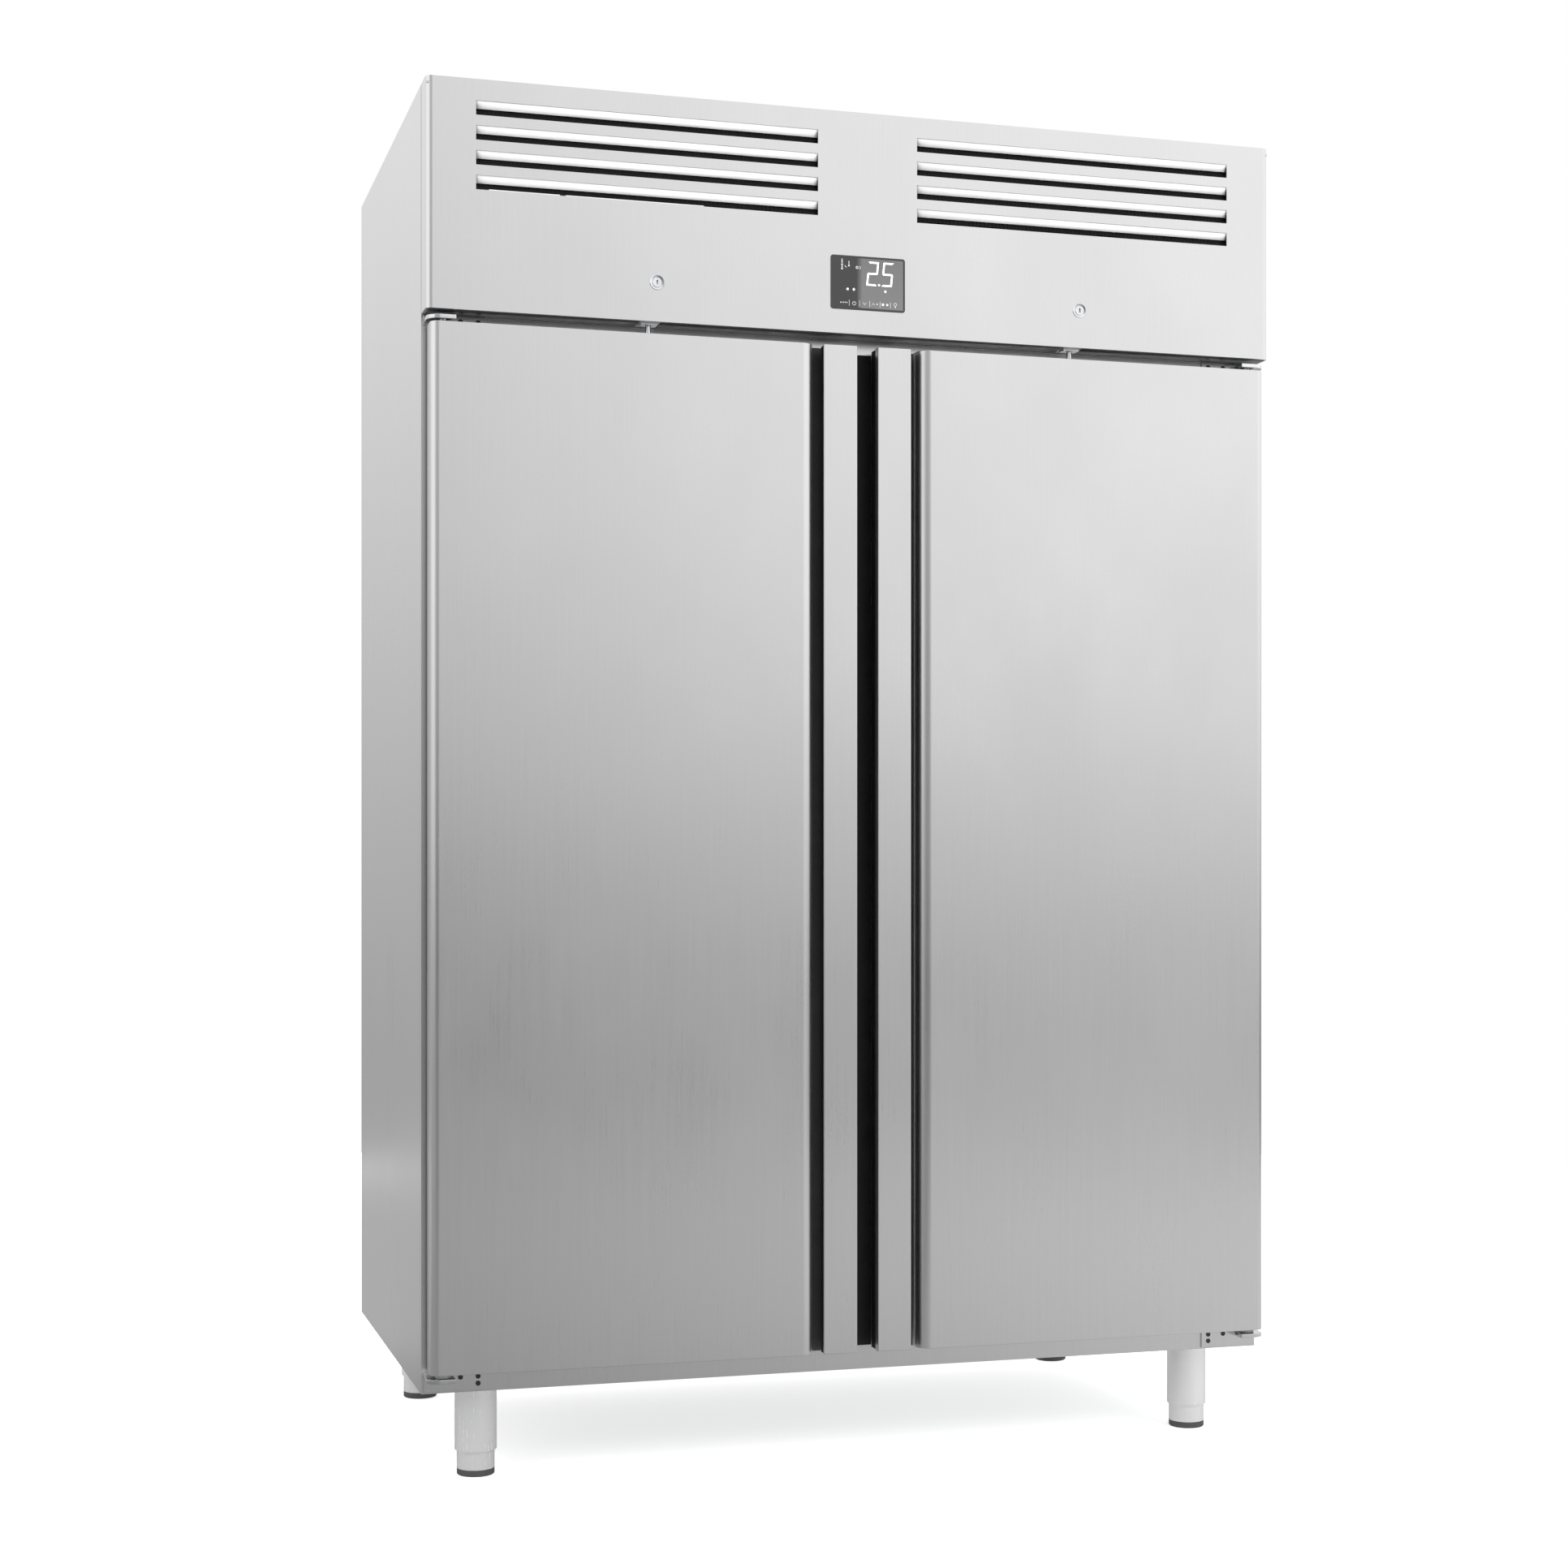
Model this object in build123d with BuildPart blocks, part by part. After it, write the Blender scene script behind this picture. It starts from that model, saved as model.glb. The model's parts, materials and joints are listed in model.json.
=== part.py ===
from build123d import *

import os
from math import cos, radians, sin

# Two-door upright commercial refrigerator with its refrigeration unit on top.
# Millimetres, +Z up, +X to the right of someone facing the doors, doors face -Y.
# Origin: the middle of the footprint, on the floor.

# ---------------------------------------------------------------- driving dimensions
WIDTH = 1290.0
DEPTH = 736.0
HEIGHT = 1970.0
RING_PROUD = 1.0  # lock rings and controller bezel stand this far in front of the doors
DOOR_PROUD = 46.0  # door front to cabinet front
SHEET = 1.2  # stainless sheet of the casing
THIN = 1.0  # inner sheet

BODY_BOTTOM = 130.0
DOOR_BOTTOM = 163.0
DOOR_TOP = 1630.0
HEAD_BOTTOM = 1647.0
DECK_TOP = 1660.2

CAVITY_HALF = 590.0
CAVITY_BACK = 313.0
CAVITY_FLOOR = 198.0
CAVITY_CEILING = 1595.0
MULLION_HALF = 48.0
MULLION_DEPTH = 58.0

SIDE = WIDTH / 2
BACK = DEPTH / 2
FRONT = -DEPTH / 2 + RING_PROUD  # plane of the door and head fronts
BODY_FRONT = FRONT + DOOR_PROUD
FRAME_BACK = BODY_FRONT + SHEET
SIDES = {"left": -1, "right": 1}

# doors
DOOR_THICK = 36.0
DOOR_OUTER = 638.0
DOOR_CORNER = 12.0
DOOR_NOSE = 19.0
RECESS_OUTER = 80.0
RECESS_INNER = 34.0
RECESS_DEPTH = 31.0
HANDLE_OUTER = 67.0
HANDLE_INNER = 16.0
HANDLE_THICK = 17.0
DOOR_END = 18.0
PAN_DEPTH = 22.0
PAN_OUTER = 582.0
PAN_INNER = 54.0
PAN_GAP = 6.0
GASKET_WIDTH = 20.0
GASKET_CLEAR = 0.3
GASKET_OUTER = 617.0
GASKET_INNER = 26.0
GASKET_MARGIN = 5.0

# door hinges
PIVOT_X = 618.0
PIVOT_Y = FRONT + 20.0
PIN_R = 5.0
PIN_CLEAR = 0.05
BUSH_R = 9.0
BUSH_FLANGE_R = 11.0
BUSH_LONG = 20.0
ARM_THICK = 6.0
TOP_ARM_BOTTOM = DOOR_TOP + 4.0
BOTTOM_ARM_TOP = DOOR_BOTTOM - 6.0
ARM_OUTER = 642.0
ARM_INNER = 602.0
LEAF_INNER = 554.0
LEAF_THICK = 3.0

# head panel
HEAD_CORNER = 9.5
HEAD_RETURN = 43.0
HEAD_TOP_RETURN = 33.0
FLAP_PIVOT_Y = FRONT + 40.0
FLAP_PIVOT_Z = HEIGHT - 6.0
FLAP_PIN_R = 2.5
SLOT_START = 76.0
SLOT_END = 575.0
SLOT_TALL = 20.0
SLOT_PITCH = 34.7
SLOT_TOP = HEIGHT - 30.0
SLOT_COUNT = 4
VANE_BACK = 5.0
VANE_DROP = 10.0

# locks
LOCK_X = 324.5
LOCK_CAM = 9.0
LOCK_Z = 1703.0
LOCK_R = 11.0
BOLT_R = 4.0
BOLT_Y = FRONT + 20.0
BOLT_TIP = DOOR_TOP + 2.5

# controller
DISPLAY_WIDE = 114.0
DISPLAY_TALL = 78.5
DISPLAY_BOTTOM = 1682.0
DISPLAY_RIM = 3.0

# legs
LEG_X = 558.0
LEG_YS = {"front": BODY_FRONT + 60.0, "rear": BACK - 75.0}
LEG_R = 30.0
LEG_WALL = 2.0
SLEEVE_R = 27.0
CAP_TALL = 9.5
SLEEVE_SHOWN_TOP = 36.0
SLEEVE_TOP = 92.0
LEG_FLANGE_R = 36.0
LEG_FLANGE_THICK = 3.0

# interior
SHELF_LEVELS = [530.0, 850.0, 1170.0]
UPRIGHT_WIDE = 20.0
UPRIGHT_DEEP = 8.0
UPRIGHT_FRONT_Y = -296.0
UPRIGHT_REAR_Y = 286.0
UPRIGHT_BOTTOM = 210.0
UPRIGHT_TOP = 1458.0
RUNNER_LEDGE = 16.0
SHELF_CLEAR = 2.0
SHELF_FRONT = -262.0
SHELF_BACK = 276.0
RIM_R = 3.5
WIRE_R = 2.0
WIRE_COUNT = 19
BAY_INNER = MULLION_HALF
BAY_OUTER = CAVITY_HALF

# evaporator unit under the ceiling
EVAP_HALF = 520.0
EVAP_FRONT = 10.0
EVAP_BOTTOM = 1475.0
EVAP_FAN_X = 270.0
EVAP_FAN_Y = 145.0
EVAP_FAN_R = 80.0
EVAP_FAN_Z = EVAP_BOTTOM + 8.0

# condensing unit on the deck
COMPRESSOR_X = -400.0
COMPRESSOR_Y = 60.0
COMPRESSOR_R = 88.0
COMPRESSOR_TALL = 195.0
CONDENSER_X = (90.0, 450.0)
CONDENSER_Y = (-255.0, -195.0)
CONDENSER_Z = (1675.0, 1925.0)
COND_FAN_X = 270.0
COND_FAN_Z = 1800.0
COND_FAN_R = 105.0
COND_FAN_Y = -150.0
SHROUD_DEEP = 70.0

os.makedirs("parts", exist_ok=True)


# ---------------------------------------------------------------- helpers
def block(x, y, z, mode=Mode.ADD):
    """A box between two limits along each axis."""
    middle = ((x[0] + x[1]) / 2, (y[0] + y[1]) / 2, (z[0] + z[1]) / 2)
    with Locations(middle):
        Box(abs(x[1] - x[0]), abs(y[1] - y[0]), abs(z[1] - z[0]), mode=mode)


def upright_rod(x, y, z, radius, mode=Mode.ADD):
    """A vertical round bar or hole from z[0] to z[1]."""
    with Locations((x, y, (z[0] + z[1]) / 2)):
        Cylinder(radius, z[1] - z[0], mode=mode)


def rod_along_y(x, y, z, radius, mode=Mode.ADD):
    """A round bar or hole that runs from y[0] to y[1]."""
    with Locations((x, (y[0] + y[1]) / 2, z)):
        Cylinder(radius, y[1] - y[0], rotation=(90, 0, 0), mode=mode)


def rod_along_x(x, y, z, radius, mode=Mode.ADD):
    """A round bar or hole that runs from x[0] to x[1]."""
    with Locations(((x[0] + x[1]) / 2, y, z)):
        Cylinder(radius, abs(x[1] - x[0]), rotation=(0, 90, 0), mode=mode)


def save(piece, label):
    """Label a finished piece and write it."""
    piece.part.label = label
    export_step(piece.part, f"parts/{label}.step")


# ---------------------------------------------------------------- outer casing
def side_panel(side):
    """One side of the casing with flanges turned in at its front, back and foot."""
    with BuildPart() as panel:
        outer = side * SIDE
        block((outer, outer - side * SHEET), (FRAME_BACK, BACK), (BODY_BOTTOM, HEIGHT))
        inner = outer - side * 20
        block((outer, inner), (FRAME_BACK, FRAME_BACK + SHEET), (DECK_TOP, HEIGHT - 16))
        block((outer, inner), (BACK - SHEET, BACK), (BODY_BOTTOM, HEIGHT))
    return panel


for name, side in SIDES.items():
    save(side_panel(side), f"{name}_side_panel")

VENT_ROWS = 6
VENT_TALL = 6.0
VENT_PITCH = 18.0
VENT_BOTTOM = 1810.0
INLET_X = -500.0
INLET_Z = 1760.0
INLET_R = 14.0

with BuildPart() as back_panel:
    back_face = BACK - SHEET
    half = SIDE - SHEET
    block((-half, half), (back_face - SHEET, back_face), (BODY_BOTTOM + SHEET, HEIGHT - SHEET))
    for row in range(VENT_ROWS):
        low = VENT_BOTTOM + row * VENT_PITCH
        for side in SIDES.values():
            x = (side * 120, side * 480)
            block(x, (back_face - 3, back_face + 3), (low, low + VENT_TALL), Mode.SUBTRACT)
    rod_along_y(INLET_X, (back_face - 3, back_face + 3), INLET_Z, INLET_R, Mode.SUBTRACT)
save(back_panel, "back_panel")

with BuildPart() as bottom_panel:
    block((-half, half), (FRAME_BACK, back_face - SHEET), (BODY_BOTTOM, BODY_BOTTOM + SHEET))
save(bottom_panel, "bottom_panel")

COVER_FRONT = FRONT + 39.0
with BuildPart() as top_cover:
    block((-half, half), (COVER_FRONT, BACK - SHEET), (HEIGHT - SHEET, HEIGHT))
    for row in range(VENT_ROWS):
        low = 60 + row * 3 * VENT_PITCH / 2
        for side in SIDES.values():
            block((side * 100, side * 460), (low, low + 10), (HEIGHT - 3, HEIGHT + 3), Mode.SUBTRACT)
save(top_cover, "top_cover")

with BuildPart() as front_frame:
    block((-SIDE, SIDE), (BODY_FRONT, FRAME_BACK), (BODY_BOTTOM, DECK_TOP))
    for side in SIDES.values():
        x = (side * MULLION_HALF, side * CAVITY_HALF)
        block(x, (BODY_FRONT - 3, FRAME_BACK + 3), (CAVITY_FLOOR, CAVITY_CEILING), Mode.SUBTRACT)
save(front_frame, "front_frame")

with BuildPart() as centre_mullion:
    block(
        (-MULLION_HALF, MULLION_HALF),
        (FRAME_BACK, FRAME_BACK + MULLION_DEPTH),
        (CAVITY_FLOOR, CAVITY_CEILING),
    )
    rear_edges = centre_mullion.edges().filter_by(Axis.Z).group_by(Axis.Y)[-1]
    fillet(rear_edges, 4)
save(centre_mullion, "centre_mullion")

with BuildPart() as inner_liner:
    block(
        (-CAVITY_HALF - THIN, CAVITY_HALF + THIN),
        (FRAME_BACK, CAVITY_BACK + THIN),
        (CAVITY_FLOOR - THIN, CAVITY_CEILING + THIN),
    )
    block(
        (-CAVITY_HALF, CAVITY_HALF),
        (FRAME_BACK - 1, CAVITY_BACK),
        (CAVITY_FLOOR, CAVITY_CEILING),
        Mode.SUBTRACT,
    )
save(inner_liner, "inner_liner")

DECK_BOTTOM = DECK_TOP - SHEET
with BuildPart() as foam_insulation:
    block((-half, half), (FRAME_BACK, back_face - SHEET), (BODY_BOTTOM + SHEET, DECK_BOTTOM))
    block(
        (-CAVITY_HALF - THIN, CAVITY_HALF + THIN),
        (FRAME_BACK - 1, CAVITY_BACK + THIN),
        (CAVITY_FLOOR - THIN, CAVITY_CEILING + THIN),
        Mode.SUBTRACT,
    )
save(foam_insulation, "foam_insulation")

with BuildPart() as machine_deck:
    block((-half, half), (FRAME_BACK, back_face - SHEET), (DECK_BOTTOM, DECK_TOP))
save(machine_deck, "machine_deck")


# ---------------------------------------------------------------- shelves and their racks
def rack_faces():
    """For each rack: the x of the wall it stands on and the way it faces."""
    return [
        (-BAY_OUTER, 1),
        (-BAY_INNER, -1),
        (BAY_INNER, 1),
        (BAY_OUTER, -1),
    ]


HOOK_PITCH = 80.0
HOOK_TALL = 12.0
HOOK_WIDE = 5.0
HOOK_COUNT = 15

with BuildPart() as shelf_uprights:
    for wall, facing in rack_faces():
        for y in (UPRIGHT_FRONT_Y, UPRIGHT_REAR_Y):
            strip = (wall, wall + facing * UPRIGHT_DEEP)
            block(strip, (y, y + UPRIGHT_WIDE), (UPRIGHT_BOTTOM, UPRIGHT_TOP))
            for step in range(HOOK_COUNT):
                low = UPRIGHT_BOTTOM + 40 + step * HOOK_PITCH
                middle = y + UPRIGHT_WIDE / 2
                block(
                    (wall + facing * 3, wall + facing * (UPRIGHT_DEEP + 1)),
                    (middle - HOOK_WIDE / 2, middle + HOOK_WIDE / 2),
                    (low, low + HOOK_TALL),
                    Mode.SUBTRACT,
                )
save(shelf_uprights, "shelf_uprights")

RUNNER_SHEET = 1.5
RUNNER_DROP = 18.0
with BuildPart() as shelf_runners:
    for wall, facing in rack_faces():
        root = wall + facing * UPRIGHT_DEEP
        for level in SHELF_LEVELS:
            span = (UPRIGHT_FRONT_Y + 2, UPRIGHT_REAR_Y + UPRIGHT_WIDE - 2)
            block((root, root + facing * RUNNER_SHEET), span, (level - RUNNER_DROP, level))
            block((root, root + facing * RUNNER_LEDGE), span, (level - RUNNER_SHEET, level))
save(shelf_runners, "shelf_runners")


def wire_shelf(side, level):
    """A wire shelf: a round rim, three stiffening rods and the wires that carry the food."""
    inner = BAY_INNER + UPRIGHT_DEEP + SHELF_CLEAR + RIM_R
    outer = BAY_OUTER - UPRIGHT_DEEP - SHELF_CLEAR - RIM_R
    height = level + RIM_R
    ends = sorted((side * inner, side * outer))
    middle_x = (ends[0] + ends[1]) / 2
    middle_y = (SHELF_FRONT + SHELF_BACK) / 2
    for x in ends:
        rod_along_y(x, (SHELF_FRONT, SHELF_BACK), height, RIM_R)
    for y in (SHELF_FRONT, SHELF_BACK):
        rod_along_x(ends, y, height, RIM_R)
        for x in ends:
            with Locations((x, y, height)):
                Sphere(RIM_R)
    for y in (SHELF_FRONT + 150, middle_y, SHELF_BACK - 150):
        rod_along_x(ends, y, height, RIM_R - 0.5)
    pitch = (ends[1] - ends[0]) / (WIRE_COUNT + 1)
    wires = [middle_x + pitch * (index - (WIRE_COUNT - 1) / 2) for index in range(WIRE_COUNT)]
    for x in wires:
        rod_along_y(x, (SHELF_FRONT, SHELF_BACK), height + 2.5, WIRE_R)


with BuildPart() as one_left_shelf:
    wire_shelf(SIDES["left"], 0)
with BuildPart() as one_right_shelf:
    wire_shelf(SIDES["right"], 0)

for name, shelf in (("left", one_left_shelf), ("right", one_right_shelf)):
    with BuildPart() as shelves:
        with Locations(*[(0, 0, level) for level in SHELF_LEVELS]):
            add(shelf.part)
    save(shelves, f"{name}_wire_shelves")

# ---------------------------------------------------------------- evaporator unit
with BuildPart() as evaporator_cover:
    block((-EVAP_HALF, EVAP_HALF), (EVAP_FRONT, CAVITY_BACK), (EVAP_BOTTOM, CAVITY_CEILING))
    front_edge = evaporator_cover.edges().filter_by(Axis.X).group_by(Axis.Z)[0].sort_by(Axis.Y)[0]
    chamfer(front_edge, 40)
    block(
        (-EVAP_HALF + THIN, EVAP_HALF - THIN),
        (EVAP_FRONT + 45, CAVITY_BACK + 1),
        (EVAP_BOTTOM + THIN, CAVITY_CEILING + 1),
        Mode.SUBTRACT,
    )
    block(
        (-EVAP_HALF + THIN, EVAP_HALF - THIN),
        (EVAP_FRONT + THIN, EVAP_FRONT + 46),
        (EVAP_BOTTOM + 45, CAVITY_CEILING + 1),
        Mode.SUBTRACT,
    )
    for side in SIDES.values():
        hole = (EVAP_BOTTOM - 1, EVAP_BOTTOM + 2)
        upright_rod(side * EVAP_FAN_X, EVAP_FAN_Y, hole, EVAP_FAN_R + 4, Mode.SUBTRACT)
save(evaporator_cover, "evaporator_cover")

FIN_PITCH = 22.0
COIL_TUBE_R = 5.0


def finned_coil(x, y, z, tube_rows, tube_levels):
    """Aluminium fins on straight tubes that run along X, with a plate at each end."""
    fins = int((x[1] - x[0]) / FIN_PITCH)
    for index in range(fins + 1):
        place = x[0] + index * (x[1] - x[0] - 2) / fins
        block((place, place + 2), y, z)
    for row in range(tube_rows):
        for level in range(tube_levels):
            tube_y = y[0] + (row + 0.5) * (y[1] - y[0]) / tube_rows
            tube_z = z[0] + (level + 0.5) * (z[1] - z[0]) / tube_levels
            rod_along_x((x[0] - 8, x[1] + 8), tube_y, tube_z, COIL_TUBE_R)


with BuildPart() as evaporator_coil:
    finned_coil((-470, 470), (245, 305), (EVAP_BOTTOM + 22, EVAP_BOTTOM + 102), 2, 3)
save(evaporator_coil, "evaporator_coil")


def fan_rotor(radius, hub_radius, deep, blades):
    """Axial fan rotor about Z: a hub with pitched blades, its lowest face at z = 0."""
    with Locations((0, 0, deep / 2)):
        Cylinder(hub_radius, deep)
    long = radius - hub_radius + 4
    for index in range(blades):
        turn = 360 / blades * index
        reach = hub_radius - 4 + long / 2
        place = (reach * cos(radians(turn)), reach * sin(radians(turn)), deep / 2)
        with Locations(Location(place, (0, 0, turn))):
            Box(long, deep * 1.1, 2.4, rotation=(32, 0, 0))
    with Locations((0, 0, deep / 2)):
        Cylinder(radius, deep, mode=Mode.INTERSECT)


EVAP_FAN_DEEP = 26.0
with BuildPart() as evaporator_rotor:
    fan_rotor(EVAP_FAN_R, 24, EVAP_FAN_DEEP, 5)
for name, side in SIDES.items():
    with BuildPart() as rotor:
        with Locations((side * EVAP_FAN_X, EVAP_FAN_Y, EVAP_FAN_Z)):
            add(evaporator_rotor.part)
    save(rotor, f"{name}_evaporator_fan")

COND_FAN_DEEP = 30.0
with BuildPart() as condenser_rotor:
    fan_rotor(COND_FAN_R, 30, COND_FAN_DEEP, 5)
with BuildPart() as condenser_fan:
    with Locations(Location((COND_FAN_X, COND_FAN_Y, COND_FAN_Z), (-90, 0, 0))):
        add(condenser_rotor.part)
save(condenser_fan, "condenser_fan")

MOTOR_GAP = 1.5
MOTOR_LONG = 52.0
with BuildPart() as fan_motors:
    for side in SIDES.values():
        low = EVAP_FAN_Z + EVAP_FAN_DEEP + MOTOR_GAP
        upright_rod(side * EVAP_FAN_X, EVAP_FAN_Y, (low, low + MOTOR_LONG), 32)
        for arm in (-1, 1):
            reach = sorted((EVAP_FAN_Y, EVAP_FAN_Y + arm * 88))
            x = (side * EVAP_FAN_X - 6, side * EVAP_FAN_X + 6)
            block(x, reach, (low + MOTOR_LONG - 4, low + MOTOR_LONG))
    near = COND_FAN_Y + COND_FAN_DEEP + MOTOR_GAP
    rod_along_y(COND_FAN_X, (near, near + MOTOR_LONG), COND_FAN_Z, 38)
    foot = (DECK_TOP, COND_FAN_Z - 30)
    block((COND_FAN_X - 20, COND_FAN_X + 20), (near + 20, near + 24), foot)
    block((COND_FAN_X - 20, COND_FAN_X + 20), (near + 20, near + 60), (DECK_TOP, DECK_TOP + 4))
save(fan_motors, "fan_motors")

# ---------------------------------------------------------------- condensing unit
with BuildPart() as condenser_coil:
    finned_coil(CONDENSER_X, CONDENSER_Y, CONDENSER_Z, 2, 6)
    for x in CONDENSER_X:
        inward = 1 if x == CONDENSER_X[0] else -1
        block((x, x + inward * 2), CONDENSER_Y, (DECK_TOP, CONDENSER_Z[0] + 2))
save(condenser_coil, "condenser_coil")

with BuildPart() as fan_shroud:
    shroud = (CONDENSER_Y[1] + 1, CONDENSER_Y[1] + 1 + SHROUD_DEEP)
    block(CONDENSER_X, shroud, (DECK_TOP, CONDENSER_Z[1]))
    inside = (shroud[0] - 1, shroud[1] - THIN)
    inside_x = (CONDENSER_X[0] + THIN, CONDENSER_X[1] - THIN)
    block(inside_x, inside, (DECK_TOP + THIN, CONDENSER_Z[1] - THIN), Mode.SUBTRACT)
    opening = (shroud[1] - 5, shroud[1] + 5)
    rod_along_y(COND_FAN_X, opening, COND_FAN_Z, COND_FAN_R + 4, Mode.SUBTRACT)
save(fan_shroud, "fan_shroud")

with BuildPart() as compressor:
    shell_z = (DECK_TOP + 16, DECK_TOP + 16 + COMPRESSOR_TALL)
    upright_rod(COMPRESSOR_X, COMPRESSOR_Y, shell_z, COMPRESSOR_R)
    round_edges = compressor.edges().filter_by(GeomType.CIRCLE)
    fillet(round_edges, 42)
    seam = DECK_TOP + 16 + COMPRESSOR_TALL * 0.55
    upright_rod(COMPRESSOR_X, COMPRESSOR_Y, (seam, seam + 6), COMPRESSOR_R + 4)
    plate = (DECK_TOP + 12, DECK_TOP + 17)
    block((COMPRESSOR_X - 95, COMPRESSOR_X + 95), (COMPRESSOR_Y - 70, COMPRESSOR_Y + 70), plate)
    for x in (-80, 80):
        for y in (-55, 55):
            upright_rod(COMPRESSOR_X + x, COMPRESSOR_Y + y, (DECK_TOP, DECK_TOP + 20), 9)
    terminal_z = (DECK_TOP + 70, DECK_TOP + 125)
    block((COMPRESSOR_X + 60, COMPRESSOR_X + 112), (COMPRESSOR_Y - 25, COMPRESSOR_Y + 25), terminal_z)
save(compressor, "compressor")

PIPE_R = 4.0
PIPE_BEND = 14.0


def pipe(points):
    """A round pipe swept along straight runs with bends of one radius."""
    with BuildPart() as swept:
        with BuildLine() as path:
            FilletPolyline(*points, radius=PIPE_BEND)
        with BuildSketch(Plane(origin=path.line @ 0, z_dir=path.line % 0)):
            Circle(PIPE_R)
        sweep()
    return swept


PIPE_Z = HEIGHT - 75.0
SHELL_TOP = DECK_TOP + 16 + COMPRESSOR_TALL
TUBE_BACK_Y = CONDENSER_Y[0] + 45
TUBE_FRONT_Y = CONDENSER_Y[0] + 15
TUBE_LEVEL = (CONDENSER_Z[1] - CONDENSER_Z[0]) / 6
DISCHARGE_Z = CONDENSER_Z[1] - TUBE_LEVEL / 2
LIQUID_Z = CONDENSER_Z[0] + TUBE_LEVEL / 2
COIL_END_X = CONDENSER_X[0] - 8
DROP_X = -60.0
DROP_Y = 275.0

discharge_pipe = pipe([
    (COMPRESSOR_X + 30, COMPRESSOR_Y, SHELL_TOP),
    (COMPRESSOR_X + 30, COMPRESSOR_Y, DISCHARGE_Z + 22),
    (COMPRESSOR_X + 30, TUBE_BACK_Y, DISCHARGE_Z + 22),
    (COIL_END_X - 60, TUBE_BACK_Y, DISCHARGE_Z + 22),
    (COIL_END_X - 30, TUBE_BACK_Y, DISCHARGE_Z),
    (COIL_END_X, TUBE_BACK_Y, DISCHARGE_Z),
])
suction_pipe = pipe([
    (COMPRESSOR_X - 30, COMPRESSOR_Y, SHELL_TOP),
    (COMPRESSOR_X - 30, COMPRESSOR_Y, PIPE_Z),
    (COMPRESSOR_X - 30, DROP_Y, PIPE_Z),
    (DROP_X, DROP_Y, PIPE_Z),
    (DROP_X, DROP_Y, DECK_TOP),
])
liquid_pipe = pipe([
    (COIL_END_X, TUBE_FRONT_Y, LIQUID_Z),
    (COIL_END_X - 60, TUBE_FRONT_Y, LIQUID_Z),
    (COIL_END_X - 60, DROP_Y, LIQUID_Z),
    (DROP_X + 40, DROP_Y, LIQUID_Z),
    (DROP_X + 40, DROP_Y, DECK_TOP),
])
with BuildPart() as refrigerant_pipes:
    add([discharge_pipe.part, suction_pipe.part, liquid_pipe.part])
save(refrigerant_pipes, "refrigerant_pipes")

BOX_X = (-220.0, -90.0)
BOX_Y = (-120.0, 40.0)
BOX_Z = (DECK_TOP, DECK_TOP + 110)
with BuildPart() as electrical_box:
    block(BOX_X, BOX_Y, BOX_Z)
    fillet(electrical_box.edges().filter_by(Axis.Z), 6)
    chamfer(electrical_box.faces().sort_by(Axis.Z)[-1].edges(), 2)
save(electrical_box, "electrical_box")

with BuildPart() as power_inlet:
    rod_along_y(INLET_X, (back_face - 22, BACK), INLET_Z, INLET_R)
    rod_along_y(INLET_X, (back_face - SHEET - 6, back_face - SHEET), INLET_Z, INLET_R + 5)
    rod_along_y(INLET_X, (back_face - 24, BACK + 1), INLET_Z, 5, Mode.SUBTRACT)
save(power_inlet, "power_inlet")


# ---------------------------------------------------------------- legs and feet
def leg_places():
    """Name and centre of each leg."""
    for row, y in LEG_YS.items():
        for name, side in SIDES.items():
            yield f"{row}_{name}", side * LEG_X, y


with BuildPart() as leg_tubes:
    for _, x, y in leg_places():
        upright_rod(x, y, (SLEEVE_SHOWN_TOP, BODY_BOTTOM - LEG_FLANGE_THICK), LEG_R)
        upright_rod(x, y, (BODY_BOTTOM - LEG_FLANGE_THICK, BODY_BOTTOM), LEG_FLANGE_R)
        bore = (SLEEVE_SHOWN_TOP - 1, BODY_BOTTOM - LEG_FLANGE_THICK)
        upright_rod(x, y, bore, LEG_R - LEG_WALL, Mode.SUBTRACT)
save(leg_tubes, "leg_tubes")

for name, x, y in leg_places():
    with BuildPart() as foot_sleeve:
        upright_rod(x, y, (CAP_TALL, SLEEVE_TOP), SLEEVE_R)
        upright_rod(x, y, (CAP_TALL - 1, SLEEVE_TOP + 1), SLEEVE_R - LEG_WALL, Mode.SUBTRACT)
        upright_rod(x, y, (CAP_TALL, CAP_TALL + 4), SLEEVE_R - LEG_WALL)
    save(foot_sleeve, f"{name}_foot_sleeve")
    with BuildPart() as foot_cap:
        upright_rod(x, y, (0, CAP_TALL), SLEEVE_R)
        chamfer(foot_cap.faces().sort_by(Axis.Z)[0].edges(), 1.5)
    save(foot_cap, f"{name}_foot_cap")

# ---------------------------------------------------------------- doors
Z_DOOR = (DOOR_BOTTOM, DOOR_TOP)
DOOR_BACK = FRONT + DOOR_THICK


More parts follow.
